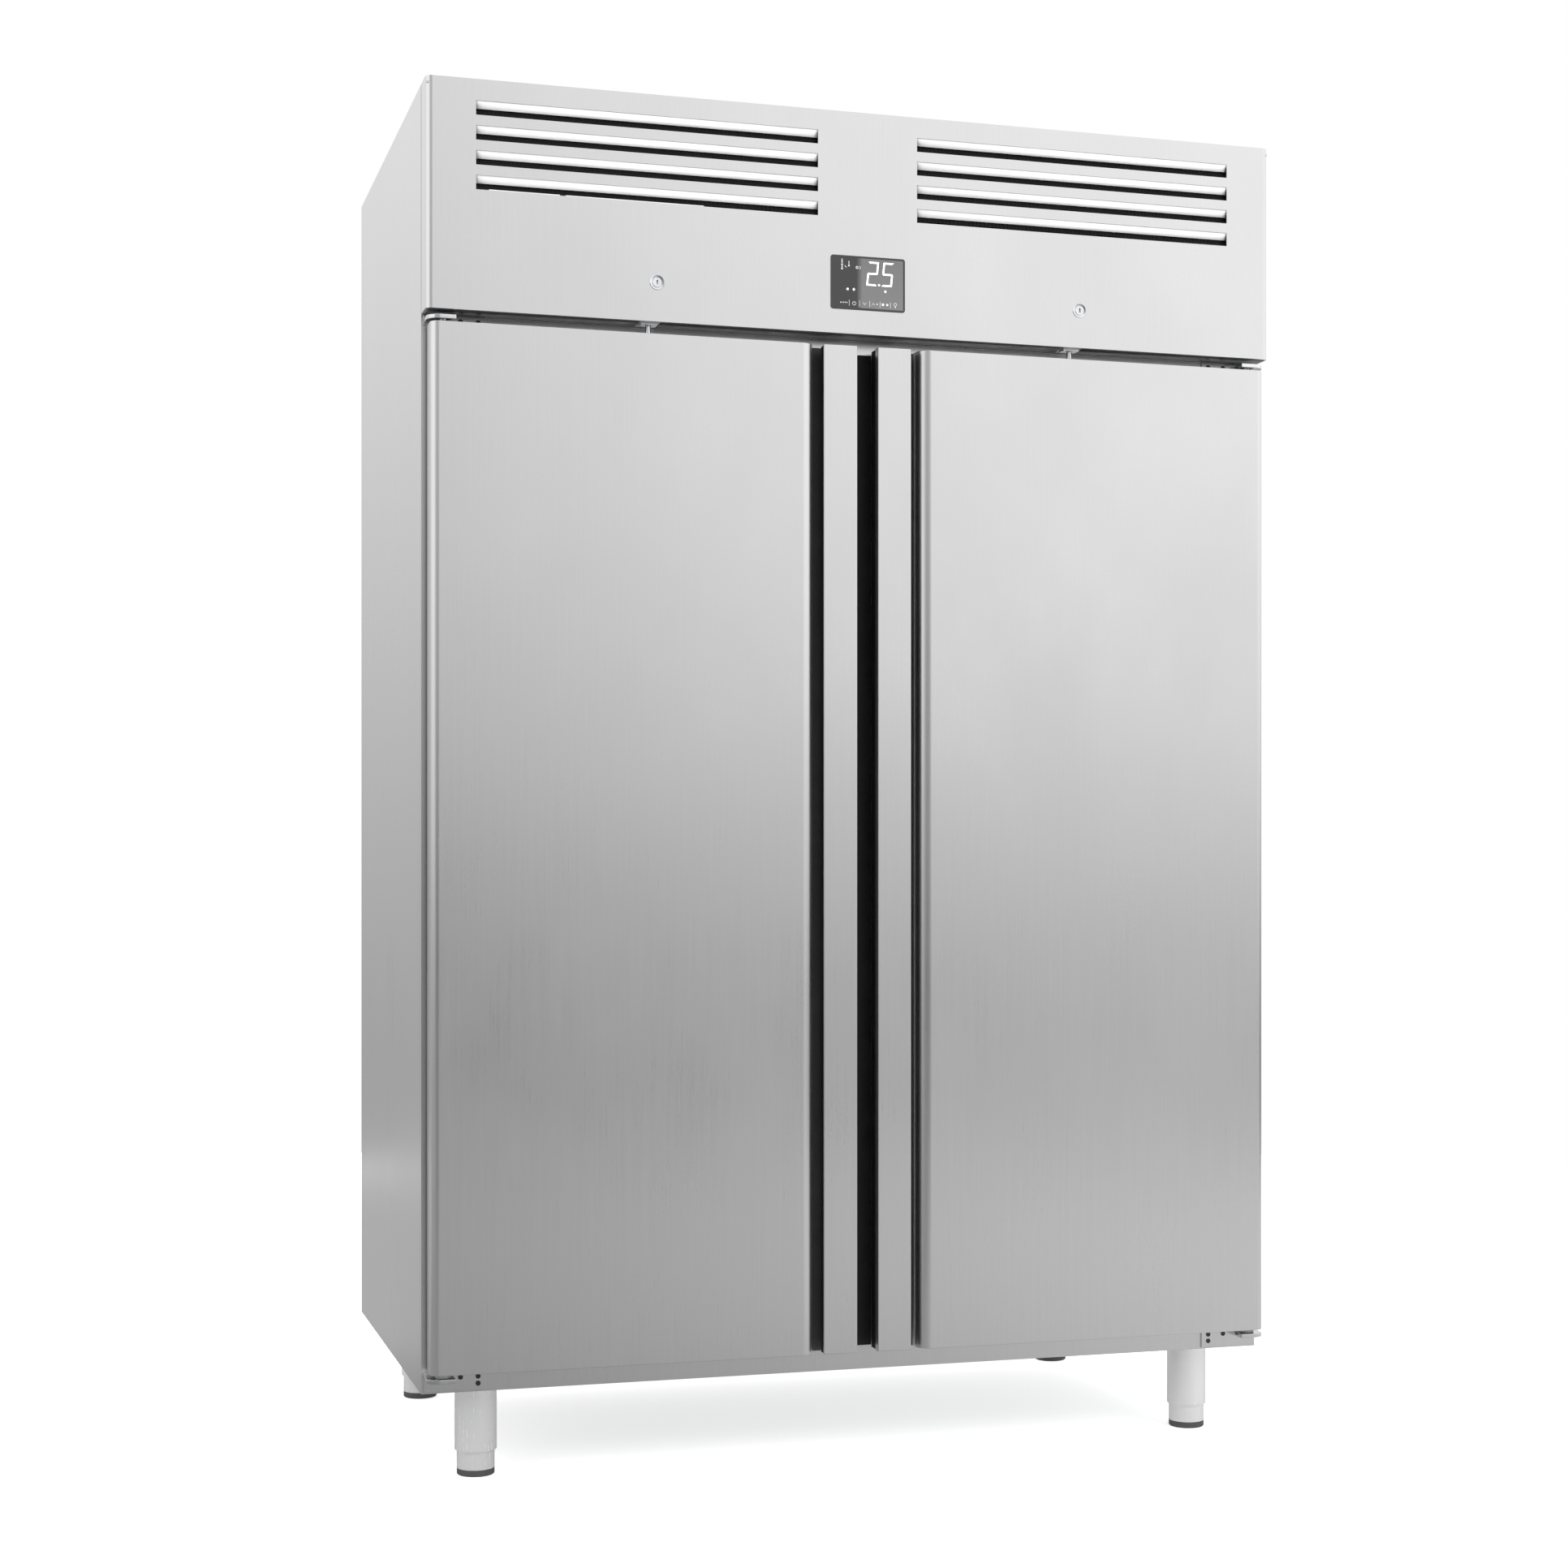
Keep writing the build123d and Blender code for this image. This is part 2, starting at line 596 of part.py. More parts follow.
def door_block(side, inset):
    """The door's outer shape as a solid, set in all round by the given amount."""
    points = [
        (side * (DOOR_OUTER - inset), DOOR_BACK),
        (side * (DOOR_OUTER - inset), FRONT + inset),
        (side * (RECESS_OUTER + inset), FRONT + inset),
        (side * (RECESS_OUTER + inset), FRONT + RECESS_DEPTH + inset),
        (side * (RECESS_INNER - inset), FRONT + RECESS_DEPTH + inset),
        (side * (RECESS_INNER - inset), FRONT + HANDLE_THICK + inset),
        (side * (DOOR_END + inset), FRONT + HANDLE_THICK + inset),
        (side * (DOOR_END + inset), DOOR_BACK),
    ]
    with BuildPart() as solid:
        with BuildSketch(Plane.XY.offset(DOOR_BOTTOM + inset)):
            with BuildLine():
                Polyline(*points, close=True)
            make_face()
        extrude(amount=DOOR_TOP - DOOR_BOTTOM - 2 * inset)
        for x, radius in ((DOOR_OUTER - inset, DOOR_CORNER), (RECESS_OUTER + inset, DOOR_NOSE)):
            front_edges = solid.edges().filter_by(Axis.Z).group_by(Axis.Y)[0]
            fillet(min(front_edges, key=lambda edge: abs(edge.center().X - side * x)), radius - inset)
    return solid.part


def pivot_holes(side, radius, deep, mode=Mode.SUBTRACT):
    """Room for the bushes at the top and bottom of the door."""
    x = side * PIVOT_X
    upright_rod(x, PIVOT_Y, (DOOR_BOTTOM - 1, DOOR_BOTTOM + deep), radius, mode)
    upright_rod(x, PIVOT_Y, (DOOR_TOP - deep, DOOR_TOP + 1), radius, mode)


STRIKE_R = 5.0
STRIKE_DEEP = 15.0


def strike_hole(side, radius, deep):
    """Pocket in the door's top that the lock bolt enters."""
    upright_rod(side * LOCK_X, BOLT_Y, (DOOR_TOP - deep, DOOR_TOP + 1), radius, Mode.SUBTRACT)


def door_skin(side):
    """Stainless front pan of the door, with the finger recess beside the handle."""
    shape = door_block(side, 0)
    inside = door_block(side, THIN)
    with BuildPart() as skin:
        add(shape)
        add(inside, mode=Mode.SUBTRACT)
        pivot_holes(side, BUSH_R, BUSH_LONG)
        strike_hole(side, STRIKE_R, STRIKE_DEEP)
    return skin


def door_foam(side):
    """Insulation that fills the door between its skin and its liner."""
    shape = door_block(side, THIN)
    with BuildPart() as foam:
        add(shape)
        cut = (DOOR_BACK - THIN, DOOR_BACK + 1)
        block((-SIDE, SIDE), cut, (DOOR_BOTTOM - 1, DOOR_TOP + 1), Mode.SUBTRACT)
        pan = (side * (PAN_INNER + THIN), side * (PAN_OUTER - THIN))
        pan_z = (CAVITY_FLOOR + PAN_GAP + THIN, CAVITY_CEILING - PAN_GAP - THIN)
        block(pan, (DOOR_BACK - THIN, DOOR_BACK + PAN_DEPTH - THIN), pan_z)
        pivot_holes(side, BUSH_R, BUSH_LONG + 2)
        strike_hole(side, STRIKE_R + 1, STRIKE_DEEP)
    return foam


def door_liner(side):
    """Inner sheet of the door with a raised pan that plugs the cabinet opening."""
    with BuildPart() as liner:
        x = (side * (DOOR_END + THIN), side * (DOOR_OUTER - THIN))
        z = (DOOR_BOTTOM + THIN, DOOR_TOP - THIN)
        block(x, (DOOR_BACK - THIN, DOOR_BACK), z)
        pan = (side * PAN_INNER, side * PAN_OUTER)
        pan_z = (CAVITY_FLOOR + PAN_GAP, CAVITY_CEILING - PAN_GAP)
        block(pan, (DOOR_BACK - THIN, DOOR_BACK + PAN_DEPTH), pan_z)
        hollow = (side * (PAN_INNER + THIN), side * (PAN_OUTER - THIN))
        hollow_z = (pan_z[0] + THIN, pan_z[1] - THIN)
        inside = (DOOR_BACK - THIN - 1, DOOR_BACK + PAN_DEPTH - THIN)
        block(hollow, inside, hollow_z, Mode.SUBTRACT)
        pivot_holes(side, BUSH_R, BUSH_LONG + 2)
        strike_hole(side, STRIKE_R + 1, STRIKE_DEEP)
    return liner


def door_gasket(side):
    """Magnetic seal, a closed rectangle between the door and the cabinet front."""
    with BuildPart() as gasket:
        y = (DOOR_BACK, BODY_FRONT - GASKET_CLEAR)
        outer_z = (DOOR_BOTTOM + GASKET_MARGIN, DOOR_TOP - GASKET_MARGIN)
        block((side * GASKET_INNER, side * GASKET_OUTER), y, outer_z)
        x = (side * (GASKET_INNER + GASKET_WIDTH), side * (GASKET_OUTER - GASKET_WIDTH))
        z = (outer_z[0] + GASKET_WIDTH, outer_z[1] - GASKET_WIDTH)
        block(x, (y[0] - 1, y[1] + 1), z, Mode.SUBTRACT)
    return gasket


def door_handle(side):
    """Full-height hollow grip whose front is level with the door's."""
    with BuildPart() as handle:
        block((side * HANDLE_INNER, side * HANDLE_OUTER), (FRONT, FRONT + HANDLE_THICK), Z_DOOR)
        fillet(handle.edges().filter_by(Axis.Z).group_by(Axis.Y)[0], 1.5)
        hollow = (side * (HANDLE_INNER + 1.5), side * (HANDLE_OUTER - 1.5))
        y = (FRONT + 1.5, FRONT + HANDLE_THICK - 1.5)
        block(hollow, y, (DOOR_BOTTOM + 1.5, DOOR_TOP - 1.5), Mode.SUBTRACT)
        screw_x = side * (DOOR_END + RECESS_INNER) / 2
        for z in (DOOR_BOTTOM + 100, (DOOR_BOTTOM + DOOR_TOP) / 2, DOOR_TOP - 100):
            hole = (FRONT + HANDLE_THICK - 3, FRONT + HANDLE_THICK + 1)
            rod_along_y(screw_x, hole, z, 2.5, Mode.SUBTRACT)
    return handle


def door_bushes(side):
    """Plastic bushes at the door's bottom and top that turn on the hinge pins."""
    x = side * PIVOT_X
    low = DOOR_BOTTOM - 5.5
    high = DOOR_TOP + 1.5
    with BuildPart() as bushes:
        upright_rod(x, PIVOT_Y, (low, DOOR_BOTTOM), BUSH_FLANGE_R)
        upright_rod(x, PIVOT_Y, (DOOR_BOTTOM, DOOR_BOTTOM + BUSH_LONG), BUSH_R)
        upright_rod(x, PIVOT_Y, (DOOR_TOP, high), BUSH_FLANGE_R)
        upright_rod(x, PIVOT_Y, (DOOR_TOP - BUSH_LONG, DOOR_TOP), BUSH_R)
        bore = PIN_R + PIN_CLEAR
        upright_rod(x, PIVOT_Y, (low - 1, DOOR_BOTTOM + BUSH_LONG - 3), bore, Mode.SUBTRACT)
        upright_rod(x, PIVOT_Y, (DOOR_TOP - BUSH_LONG + 3, high + 1), bore, Mode.SUBTRACT)
    return bushes


DOOR_PIECES = {
    "skin": door_skin,
    "foam": door_foam,
    "liner": door_liner,
    "gasket": door_gasket,
    "handle": door_handle,
    "bushes": door_bushes,
}
for name, side in SIDES.items():
    for piece, make in DOOR_PIECES.items():
        save(make(side), f"{name}_door_{piece}")


# ---------------------------------------------------------------- door hinges on the cabinet
def hinge_bracket(side, arm_z, leaf_z):
    """An arm that reaches over the door's pivot, on a leaf screwed to the cabinet front."""
    arm_x = (side * ARM_INNER, side * ARM_OUTER)
    arm_y = (FRONT + 3, BODY_FRONT)
    block(arm_x, arm_y, arm_z)
    leaf_y = (BODY_FRONT - LEAF_THICK, BODY_FRONT)
    block((side * LEAF_INNER, side * ARM_OUTER), leaf_y, leaf_z)
    upright_rod(side * PIVOT_X, PIVOT_Y, (arm_z[0] - 1, arm_z[1] + 1), PIN_R, Mode.SUBTRACT)


ARM_ROUND = 18.0
TOP_ARM_Z = (TOP_ARM_BOTTOM, TOP_ARM_BOTTOM + ARM_THICK)
TOP_LEAF_Z = (DOOR_TOP + 1.5, HEAD_BOTTOM - 1)
BOTTOM_ARM_Z = (BOTTOM_ARM_TOP - ARM_THICK, BOTTOM_ARM_TOP)
BOTTOM_LEAF_Z = (BODY_BOTTOM + 2, DOOR_BOTTOM - 2)


def rounded_brackets(arm_z, leaf_z):
    """The pair of brackets, left and right, with their outer front corners rounded."""
    with BuildPart() as brackets:
        for side in SIDES.values():
            hinge_bracket(side, arm_z, leaf_z)
        upright = brackets.edges().filter_by(Axis.Z)
        front = upright.group_by(Axis.Y)[0]
        fillet([front.sort_by(Axis.X)[0], front.sort_by(Axis.X)[-1]], ARM_ROUND)
    return brackets


save(rounded_brackets(TOP_ARM_Z, TOP_LEAF_Z), "top_hinge_brackets")
save(rounded_brackets(BOTTOM_ARM_Z, BOTTOM_LEAF_Z), "bottom_hinge_brackets")

with BuildPart() as hinge_pins:
    for side in SIDES.values():
        upright_rod(side * PIVOT_X, PIVOT_Y, (BOTTOM_ARM_Z[0], DOOR_BOTTOM + BUSH_LONG - 5), PIN_R)
        upright_rod(side * PIVOT_X, PIVOT_Y, (DOOR_TOP - BUSH_LONG + 5, TOP_ARM_Z[1]), PIN_R)
save(hinge_pins, "hinge_pins")

SCREW_HEAD_R = 3.6
SCREW_HEAD_TALL = 1.6
SCREW_XS = (565.0, 590.0)
with BuildPart() as hinge_screws:
    head_y = (BODY_FRONT - LEAF_THICK - SCREW_HEAD_TALL, BODY_FRONT - LEAF_THICK)
    for side in SIDES.values():
        for x in SCREW_XS:
            rod_along_y(side * x, head_y, (TOP_LEAF_Z[0] + TOP_LEAF_Z[1]) / 2, SCREW_HEAD_R)
            rod_along_y(side * x, head_y, BOTTOM_LEAF_Z[1] - 9, SCREW_HEAD_R)
        rod_along_y(side * SCREW_XS[0], head_y, BOTTOM_LEAF_Z[1] - 19, SCREW_HEAD_R)
save(hinge_screws, "hinge_screws")

# ---------------------------------------------------------------- head panel and what it carries
HOUSING_X = 18.0
HOUSING_Z = (HEAD_BOTTOM + SHEET, HEAD_BOTTOM + 82)
HOUSING_Y = (FRONT + SHEET, FRONT + 34)


def slot_tops():
    """Height of each louvre slot's upper edge."""
    return [SLOT_TOP - index * SLOT_PITCH for index in range(SLOT_COUNT)]


inner_half = SIDE - SHEET
with BuildPart() as head_inside:
    inside_y = (FRONT + SHEET, FRONT + HEAD_RETURN + 1)
    block((-inner_half, inner_half), inside_y, (HEAD_BOTTOM + SHEET, HEIGHT - SHEET))
    inner_edges = head_inside.edges().filter_by(Axis.Z).group_by(Axis.Y)[0]
    fillet(inner_edges, HEAD_CORNER - SHEET)

with BuildPart() as head_panel:
    block((-SIDE, SIDE), (FRONT, FRONT + HEAD_RETURN), (HEAD_BOTTOM, HEIGHT))
    upright_edges = head_panel.edges().filter_by(Axis.Z).group_by(Axis.Y)[0]
    fillet(upright_edges, HEAD_CORNER)
    add(head_inside.part, mode=Mode.SUBTRACT)
    top_cut = (FRONT + HEAD_TOP_RETURN, FRONT + HEAD_RETURN + 1)
    block((-inner_half, inner_half), top_cut, (HEIGHT - 2 * SHEET, HEIGHT + 1), Mode.SUBTRACT)
    for side in SIDES.values():
        for top in slot_tops():
            x = (side * SLOT_START, side * SLOT_END)
            block(x, (FRONT - 1, FRONT + SHEET + 1), (top - SLOT_TALL, top), Mode.SUBTRACT)
        through = (FRONT - 1, FRONT + SHEET + 1)
        rod_along_y(side * LOCK_X + LOCK_CAM, through, LOCK_Z, LOCK_R - 2, Mode.SUBTRACT)
        bolt_hole = (HEAD_BOTTOM - 1, HEAD_BOTTOM + 3)
        upright_rod(side * LOCK_X, BOLT_Y, bolt_hole, BOLT_R + 2, Mode.SUBTRACT)
        lug = (side * 637, side * (SIDE - SHEET))
        rod_along_x(lug, FLAP_PIVOT_Y, FLAP_PIVOT_Z, 4.5)
        block(lug, (FRONT + SHEET, FLAP_PIVOT_Y), (FLAP_PIVOT_Z - 4.5, FLAP_PIVOT_Z - 1.5))
        socket = (side * 630, side * 642)
        rod_along_x(socket, FLAP_PIVOT_Y, FLAP_PIVOT_Z, FLAP_PIN_R + PIN_CLEAR, Mode.SUBTRACT)
    window_x = (-DISPLAY_WIDE / 2 + 5, DISPLAY_WIDE / 2 - 5)
    window_z = (DISPLAY_BOTTOM + 5, DISPLAY_BOTTOM + DISPLAY_TALL - 5)
    block(window_x, (FRONT - 1, FRONT + SHEET + 1), window_z, Mode.SUBTRACT)
    for side in SIDES.values():
        for top in slot_tops():
            with BuildSketch(Plane.YZ.offset(min(side * SLOT_START, side * SLOT_END))):
                with BuildLine():
                    Polyline(
                        (FRONT + SHEET, top + 3),
                        (FRONT + SHEET, top),
                        (FRONT + SHEET + VANE_BACK, top - VANE_DROP),
                        (FRONT + SHEET + VANE_BACK + 0.5, top - VANE_DROP + 0.9),
                        (FRONT + 2 * SHEET, top + 0.6),
                        (FRONT + 2 * SHEET, top + 3),
                        close=True,
                    )
                make_face()
            extrude(amount=SLOT_END - SLOT_START)
save(head_panel, "head_panel")

with BuildPart() as lock_housings:
    for side in SIDES.values():
        centre = side * LOCK_X
        block((centre - HOUSING_X, centre + HOUSING_X + 6), HOUSING_Y, HOUSING_Z)
        flange = (HEAD_BOTTOM - 2.5, HEAD_BOTTOM)
        block((centre - 12.5, centre + 12.5), (BOLT_Y - 9, BOLT_Y + 9), flange)
        upright_rod(centre, BOLT_Y, (HEAD_BOTTOM, HOUSING_Z[0]), BOLT_R + 2)
        bore = (HEAD_BOTTOM - 4, HOUSING_Z[1] - 4)
        upright_rod(centre, BOLT_Y, bore, BOLT_R + 0.3, Mode.SUBTRACT)
        cylinder_bore = (HOUSING_Y[0] - 1, BOLT_Y - BOLT_R - 1)
        rod_along_y(centre + LOCK_CAM, cylinder_bore, LOCK_Z, LOCK_R - 2 + PIN_CLEAR, Mode.SUBTRACT)
save(lock_housings, "lock_housings")

KEY_SLOT = (2.0, 7.0)
for name, side in SIDES.items():
    centre = side * LOCK_X + LOCK_CAM
    with BuildPart() as lock_cylinder:
        rod_along_y(centre, (FRONT - RING_PROUD, FRONT), LOCK_Z, LOCK_R)
        rod_along_y(centre, (FRONT, BOLT_Y - BOLT_R - 2), LOCK_Z, LOCK_R - 2 - PIN_CLEAR)
        key_x = (centre - KEY_SLOT[0] / 2, centre + KEY_SLOT[0] / 2)
        key_z = (LOCK_Z - KEY_SLOT[1] / 2, LOCK_Z + KEY_SLOT[1] / 2)
        block(key_x, (FRONT - RING_PROUD - 1, FRONT + 8), key_z, Mode.SUBTRACT)
    save(lock_cylinder, f"{name}_lock_cylinder")
    with BuildPart() as lock_bolt:
        upright_rod(side * LOCK_X, BOLT_Y, (BOLT_TIP, HOUSING_Z[1] - 18), BOLT_R)
        chamfer(lock_bolt.faces().sort_by(Axis.Z)[0].edges(), 1)
    save(lock_bolt, f"{name}_lock_bolt")

with BuildPart() as controller_bezel:
    x = (-DISPLAY_WIDE / 2, DISPLAY_WIDE / 2)
    z = (DISPLAY_BOTTOM, DISPLAY_BOTTOM + DISPLAY_TALL)
    block(x, (FRONT - RING_PROUD, FRONT), z)
    fillet(controller_bezel.edges().filter_by(Axis.Y), 4)
    block(window_x, (FRONT, FRONT + 46), window_z)
    glass_x = (x[0] + DISPLAY_RIM, x[1] - DISPLAY_RIM)
    glass_z = (z[0] + DISPLAY_RIM, z[1] - DISPLAY_RIM)
    block(glass_x, (FRONT - RING_PROUD - 1, FRONT - RING_PROUD + 0.8), glass_z, Mode.SUBTRACT)
save(controller_bezel, "controller_bezel")

with BuildPart() as controller_glass:
    block(glass_x, (FRONT - RING_PROUD + 0.1, FRONT - RING_PROUD + 0.8), glass_z)
save(controller_glass, "controller_glass")

STRAP_X = (618.0, 636.0)
with BuildPart() as panel_hinges:
    for side in SIDES.values():
        x = (side * STRAP_X[0], side * STRAP_X[1])
        strap_z = (FLAP_PIVOT_Z - 4, HEIGHT - SHEET)
        block(x, (FLAP_PIVOT_Y - 4.5, FLAP_PIVOT_Y + 70), strap_z)
        rod_along_x((side * STRAP_X[0], side * 641), FLAP_PIVOT_Y, FLAP_PIVOT_Z, FLAP_PIN_R)
save(panel_hinges, "panel_hinges")
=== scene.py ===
import json
from math import cos, pi, radians, sin

import bmesh
import bpy
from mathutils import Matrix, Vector


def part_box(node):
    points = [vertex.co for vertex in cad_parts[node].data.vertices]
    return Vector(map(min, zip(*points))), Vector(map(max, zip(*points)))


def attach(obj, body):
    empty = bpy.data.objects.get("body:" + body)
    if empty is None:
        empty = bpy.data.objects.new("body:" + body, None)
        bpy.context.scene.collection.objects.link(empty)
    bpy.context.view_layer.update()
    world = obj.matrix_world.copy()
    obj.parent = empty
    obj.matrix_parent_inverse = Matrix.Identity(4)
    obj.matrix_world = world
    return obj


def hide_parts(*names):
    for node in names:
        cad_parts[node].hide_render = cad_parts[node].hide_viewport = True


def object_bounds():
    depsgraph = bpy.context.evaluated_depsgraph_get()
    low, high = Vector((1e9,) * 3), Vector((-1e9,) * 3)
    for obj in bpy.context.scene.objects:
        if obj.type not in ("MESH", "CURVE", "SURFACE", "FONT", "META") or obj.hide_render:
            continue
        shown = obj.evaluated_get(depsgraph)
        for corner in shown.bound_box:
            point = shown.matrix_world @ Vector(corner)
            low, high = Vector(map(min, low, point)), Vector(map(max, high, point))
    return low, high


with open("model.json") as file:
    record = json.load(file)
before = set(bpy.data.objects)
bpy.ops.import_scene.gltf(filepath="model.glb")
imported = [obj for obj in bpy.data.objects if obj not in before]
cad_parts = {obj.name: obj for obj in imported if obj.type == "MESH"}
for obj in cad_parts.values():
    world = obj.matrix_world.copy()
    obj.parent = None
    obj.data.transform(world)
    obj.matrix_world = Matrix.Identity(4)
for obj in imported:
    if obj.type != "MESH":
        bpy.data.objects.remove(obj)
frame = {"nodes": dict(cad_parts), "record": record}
CAD_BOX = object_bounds()

# Looks of a two-door upright commercial refrigerator. Metres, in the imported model's frame:
# +Z up, doors face -Y, +X to the right of someone facing the doors.
MM = 0.001
NODES = frame["nodes"]
SIDES = {"left": -1, "right": 1}
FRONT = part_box("left_door_skin")[0].y
BODY_OF = {
    node: body for body, members in frame["record"]["behaviour"]["bodies"].items() for node in members
}


# ---------------------------------------------------------------- material tools
class Tree:
    """A node tree, with short calls that make nodes and link them."""

    def __init__(self, tree):
        self.tree = tree

    def node(self, kind, inputs=None, **settings):
        made = self.tree.nodes.new(kind)
        for key, value in settings.items():
            setattr(made, key, value)
        for key, value in (inputs or {}).items():
            if isinstance(value, bpy.types.NodeSocket):
                self.tree.links.new(value, made.inputs[key])
            else:
                made.inputs[key].default_value = value
        return made

    def ramp(self, value, low, high, start=0.0, end=1.0, **settings):
        """A value's range from start to end, mapped to low and high and held there beyond it."""
        inputs = {"Value": value, "From Min": start, "From Max": end, "To Min": low, "To Max": high}
        return self.node("ShaderNodeMapRange", inputs, **settings).outputs["Result"]

    def maths(self, operation, first, second):
        made = self.node("ShaderNodeMath", {0: first, 1: second}, operation=operation)
        return made.outputs["Value"]


class Look(Tree):
    """A material being built: its node tree and its Principled shader."""

    def __init__(self, name, **sockets):
        self.material = bpy.data.materials.new(name)
        self.material.use_nodes = True
        super().__init__(self.material.node_tree)
        self.shader = self.tree.nodes["Principled BSDF"]
        for socket, value in sockets.items():
            self.shader.inputs[socket.replace("_", " ")].default_value = value

    def coordinates(self, scale, stretch=(1, 1, 1)):
        """Object coordinates scaled up, with features drawn out along an axis by its stretch."""
        place = self.node("ShaderNodeTexCoord").outputs["Object"]
        factors = [scale / s for s in stretch]
        return self.node("ShaderNodeMapping", {"Vector": place, "Scale": factors}).outputs["Vector"]

    def noise(self, scale, stretch=(1, 1, 1), detail=2.0, roughness=0.5):
        inputs = {
            "Vector": self.coordinates(scale, stretch),
            "Scale": 1.0,
            "Detail": detail,
            "Roughness": roughness,
        }
        return self.node("ShaderNodeTexNoise", inputs).outputs["Fac"]

    def mix(self, factor, first, second):
        """A colour between two colours."""
        made = self.node("ShaderNodeMix", {"Factor": factor}, data_type="RGBA")
        colours = [s for s in made.inputs if s.type == "RGBA"]
        colours[0].default_value = (*first, 1)
        colours[1].default_value = (*second, 1)
        return next(s for s in made.outputs if s.type == "RGBA")

    def bump(self, height, strength, distance, below=None):
        inputs = {"Height": height, "Strength": strength, "Distance": distance}
        if below is not None:
            inputs["Normal"] = below
        return self.node("ShaderNodeBump", inputs).outputs["Normal"]

    def feed(self, **outputs):
        """Links outputs to the shader's sockets."""
        for socket, output in outputs.items():
            self.tree.links.new(output, self.shader.inputs[socket.replace("_", " ")])


def grey(level, warmth=0.0):
    return (level * (1 + warmth), level, level * (1 - warmth))


# ---------------------------------------------------------------- materials
def brushed_metal(
    name, level, roughness, grain=(1, 1, 90), anisotropy=0.5, contrast=0.03, metallic=1.0
):
    """Sheet steel with a fine grain drawn out along one axis, faint smudges and a slight wave."""
    look = Look(name, Metallic=metallic, Anisotropic=anisotropy)
    hairs = look.noise(2400, grain, detail=3, roughness=0.7)
    streaks = look.noise(330, grain, detail=3, roughness=0.6)
    smudges = look.noise(7, (1, 1, 1.6), detail=4)
    wave = look.noise(2.2, (1, 1, 1.5), detail=0)
    both = look.maths("ADD", look.maths("MULTIPLY", hairs, 0.5), look.maths("MULTIPLY", streaks, 0.5))
    darker, lighter = grey(level * (1 - contrast)), grey(level * (1 + contrast))
    colour = look.mix(look.ramp(both, 0, 1, 0.3, 0.7), darker, lighter)
    grain_share = look.ramp(both, -0.03, 0.03, 0.3, 0.7)
    smudge_share = look.ramp(smudges, -0.02, 0.02, 0.3, 0.7)
    rough = look.maths("ADD", look.maths("ADD", grain_share, smudge_share), roughness)
    waved = look.bump(wave, 0.12, 1.5 * MM)
    grained = look.bump(both, 0.025, 0.05 * MM, waved)
    tangent = look.node("ShaderNodeTangent", direction_type="RADIAL", axis="Z").outputs["Tangent"]
    look.feed(Base_Color=colour, Roughness=rough, Normal=grained, Tangent=tangent)
    return look.material


def polished_metal(name, colour, roughness):
    """Plated or drawn metal with small scratches and a light film of handling."""
    look = Look(name, Metallic=1.0)
    scratches = look.noise(900, (1, 6, 1), detail=4, roughness=0.7)
    film = look.noise(60, detail=3)
    dull = [c * 0.82 for c in colour]
    filmed = look.ramp(film, 0, 0.08, 0.3, 0.8)
    scratched = look.ramp(scratches, roughness, roughness + 0.06)
    look.feed(
        Base_Color=look.mix(look.ramp(film, 0, 1, 0.3, 0.75), colour, dull),
        Roughness=look.maths("ADD", filmed, scratched),
        Normal=look.bump(scratches, 0.08, 0.05 * MM),
    )
    return look.material


def galvanised():
    """Zinc-coated sheet with a pattern of crystals."""
    look = Look("galvanised_sheet", Metallic=1.0)
    inputs = {"Vector": look.coordinates(70), "Scale": 1.0, "Randomness": 1.0}
    cells = look.node("ShaderNodeTexVoronoi", inputs)
    tone = look.node("ShaderNodeSeparateColor", {"Color": cells.outputs["Color"]}).outputs["Red"]
    cloud = look.noise(18, detail=4)
    mixed = look.maths("ADD", look.maths("MULTIPLY", tone, 0.55), look.maths("MULTIPLY", cloud, 0.45))
    look.feed(
        Base_Color=look.mix(mixed, (0.44, 0.46, 0.48), (0.66, 0.67, 0.68)),
        Roughness=look.ramp(mixed, 0.34, 0.52),
        Normal=look.bump(tone, 0.06, 0.1 * MM),
    )
    return look.material


def moulded_plastic(name, colour, roughness, grain=1400, coat=0.0):
    """Injection-moulded plastic with a fine spark-eroded texture and slight dust."""
    look = Look(name, Specular_IOR_Level=0.5, Coat_Weight=coat, Coat_Roughness=0.08)
    texture = look.noise(grain, detail=2)
    dust = look.noise(40, detail=5)
    paler = [min(1, c * 1.25 + 0.01) for c in colour]
    look.feed(
        Base_Color=look.mix(look.ramp(dust, 0, 0.5, 0.45, 0.8), colour, paler),
        Roughness=look.ramp(dust, roughness - 0.04, roughness + 0.08, 0.3, 0.7),
        Normal=look.bump(texture, 0.12, 0.08 * MM),
    )
    return look.material


def rubber():
    """Soft grey extruded seal, matt, with faint lines along the extrusion."""
    look = Look("seal_rubber", Specular_IOR_Level=0.35)
    lines = look.noise(1200, (1, 1, 25), detail=2)
    marks = look.noise(30, detail=4)
    look.feed(
        Base_Color=look.mix(look.ramp(marks, 0, 1, 0.35, 0.75), grey(0.20), grey(0.27)),
        Roughness=look.ramp(marks, 0.55, 0.7),
        Normal=look.bump(lines, 0.1, 0.1 * MM),
    )
    return look.material


def enamel():
    """Black stove enamel with orange peel."""
    look = Look("black_enamel_paint", Coat_Weight=0.6, Coat_Roughness=0.12)
    peel = look.noise(220, detail=1)
    dust = look.noise(25, detail=5)
    look.feed(
        Base_Color=look.mix(look.ramp(dust, 0, 0.6, 0.45, 0.8), grey(0.012), grey(0.06)),
        Roughness=look.ramp(dust, 0.28, 0.5),
        Normal=look.bump(peel, 0.25, 0.3 * MM),
    )
    return look.material


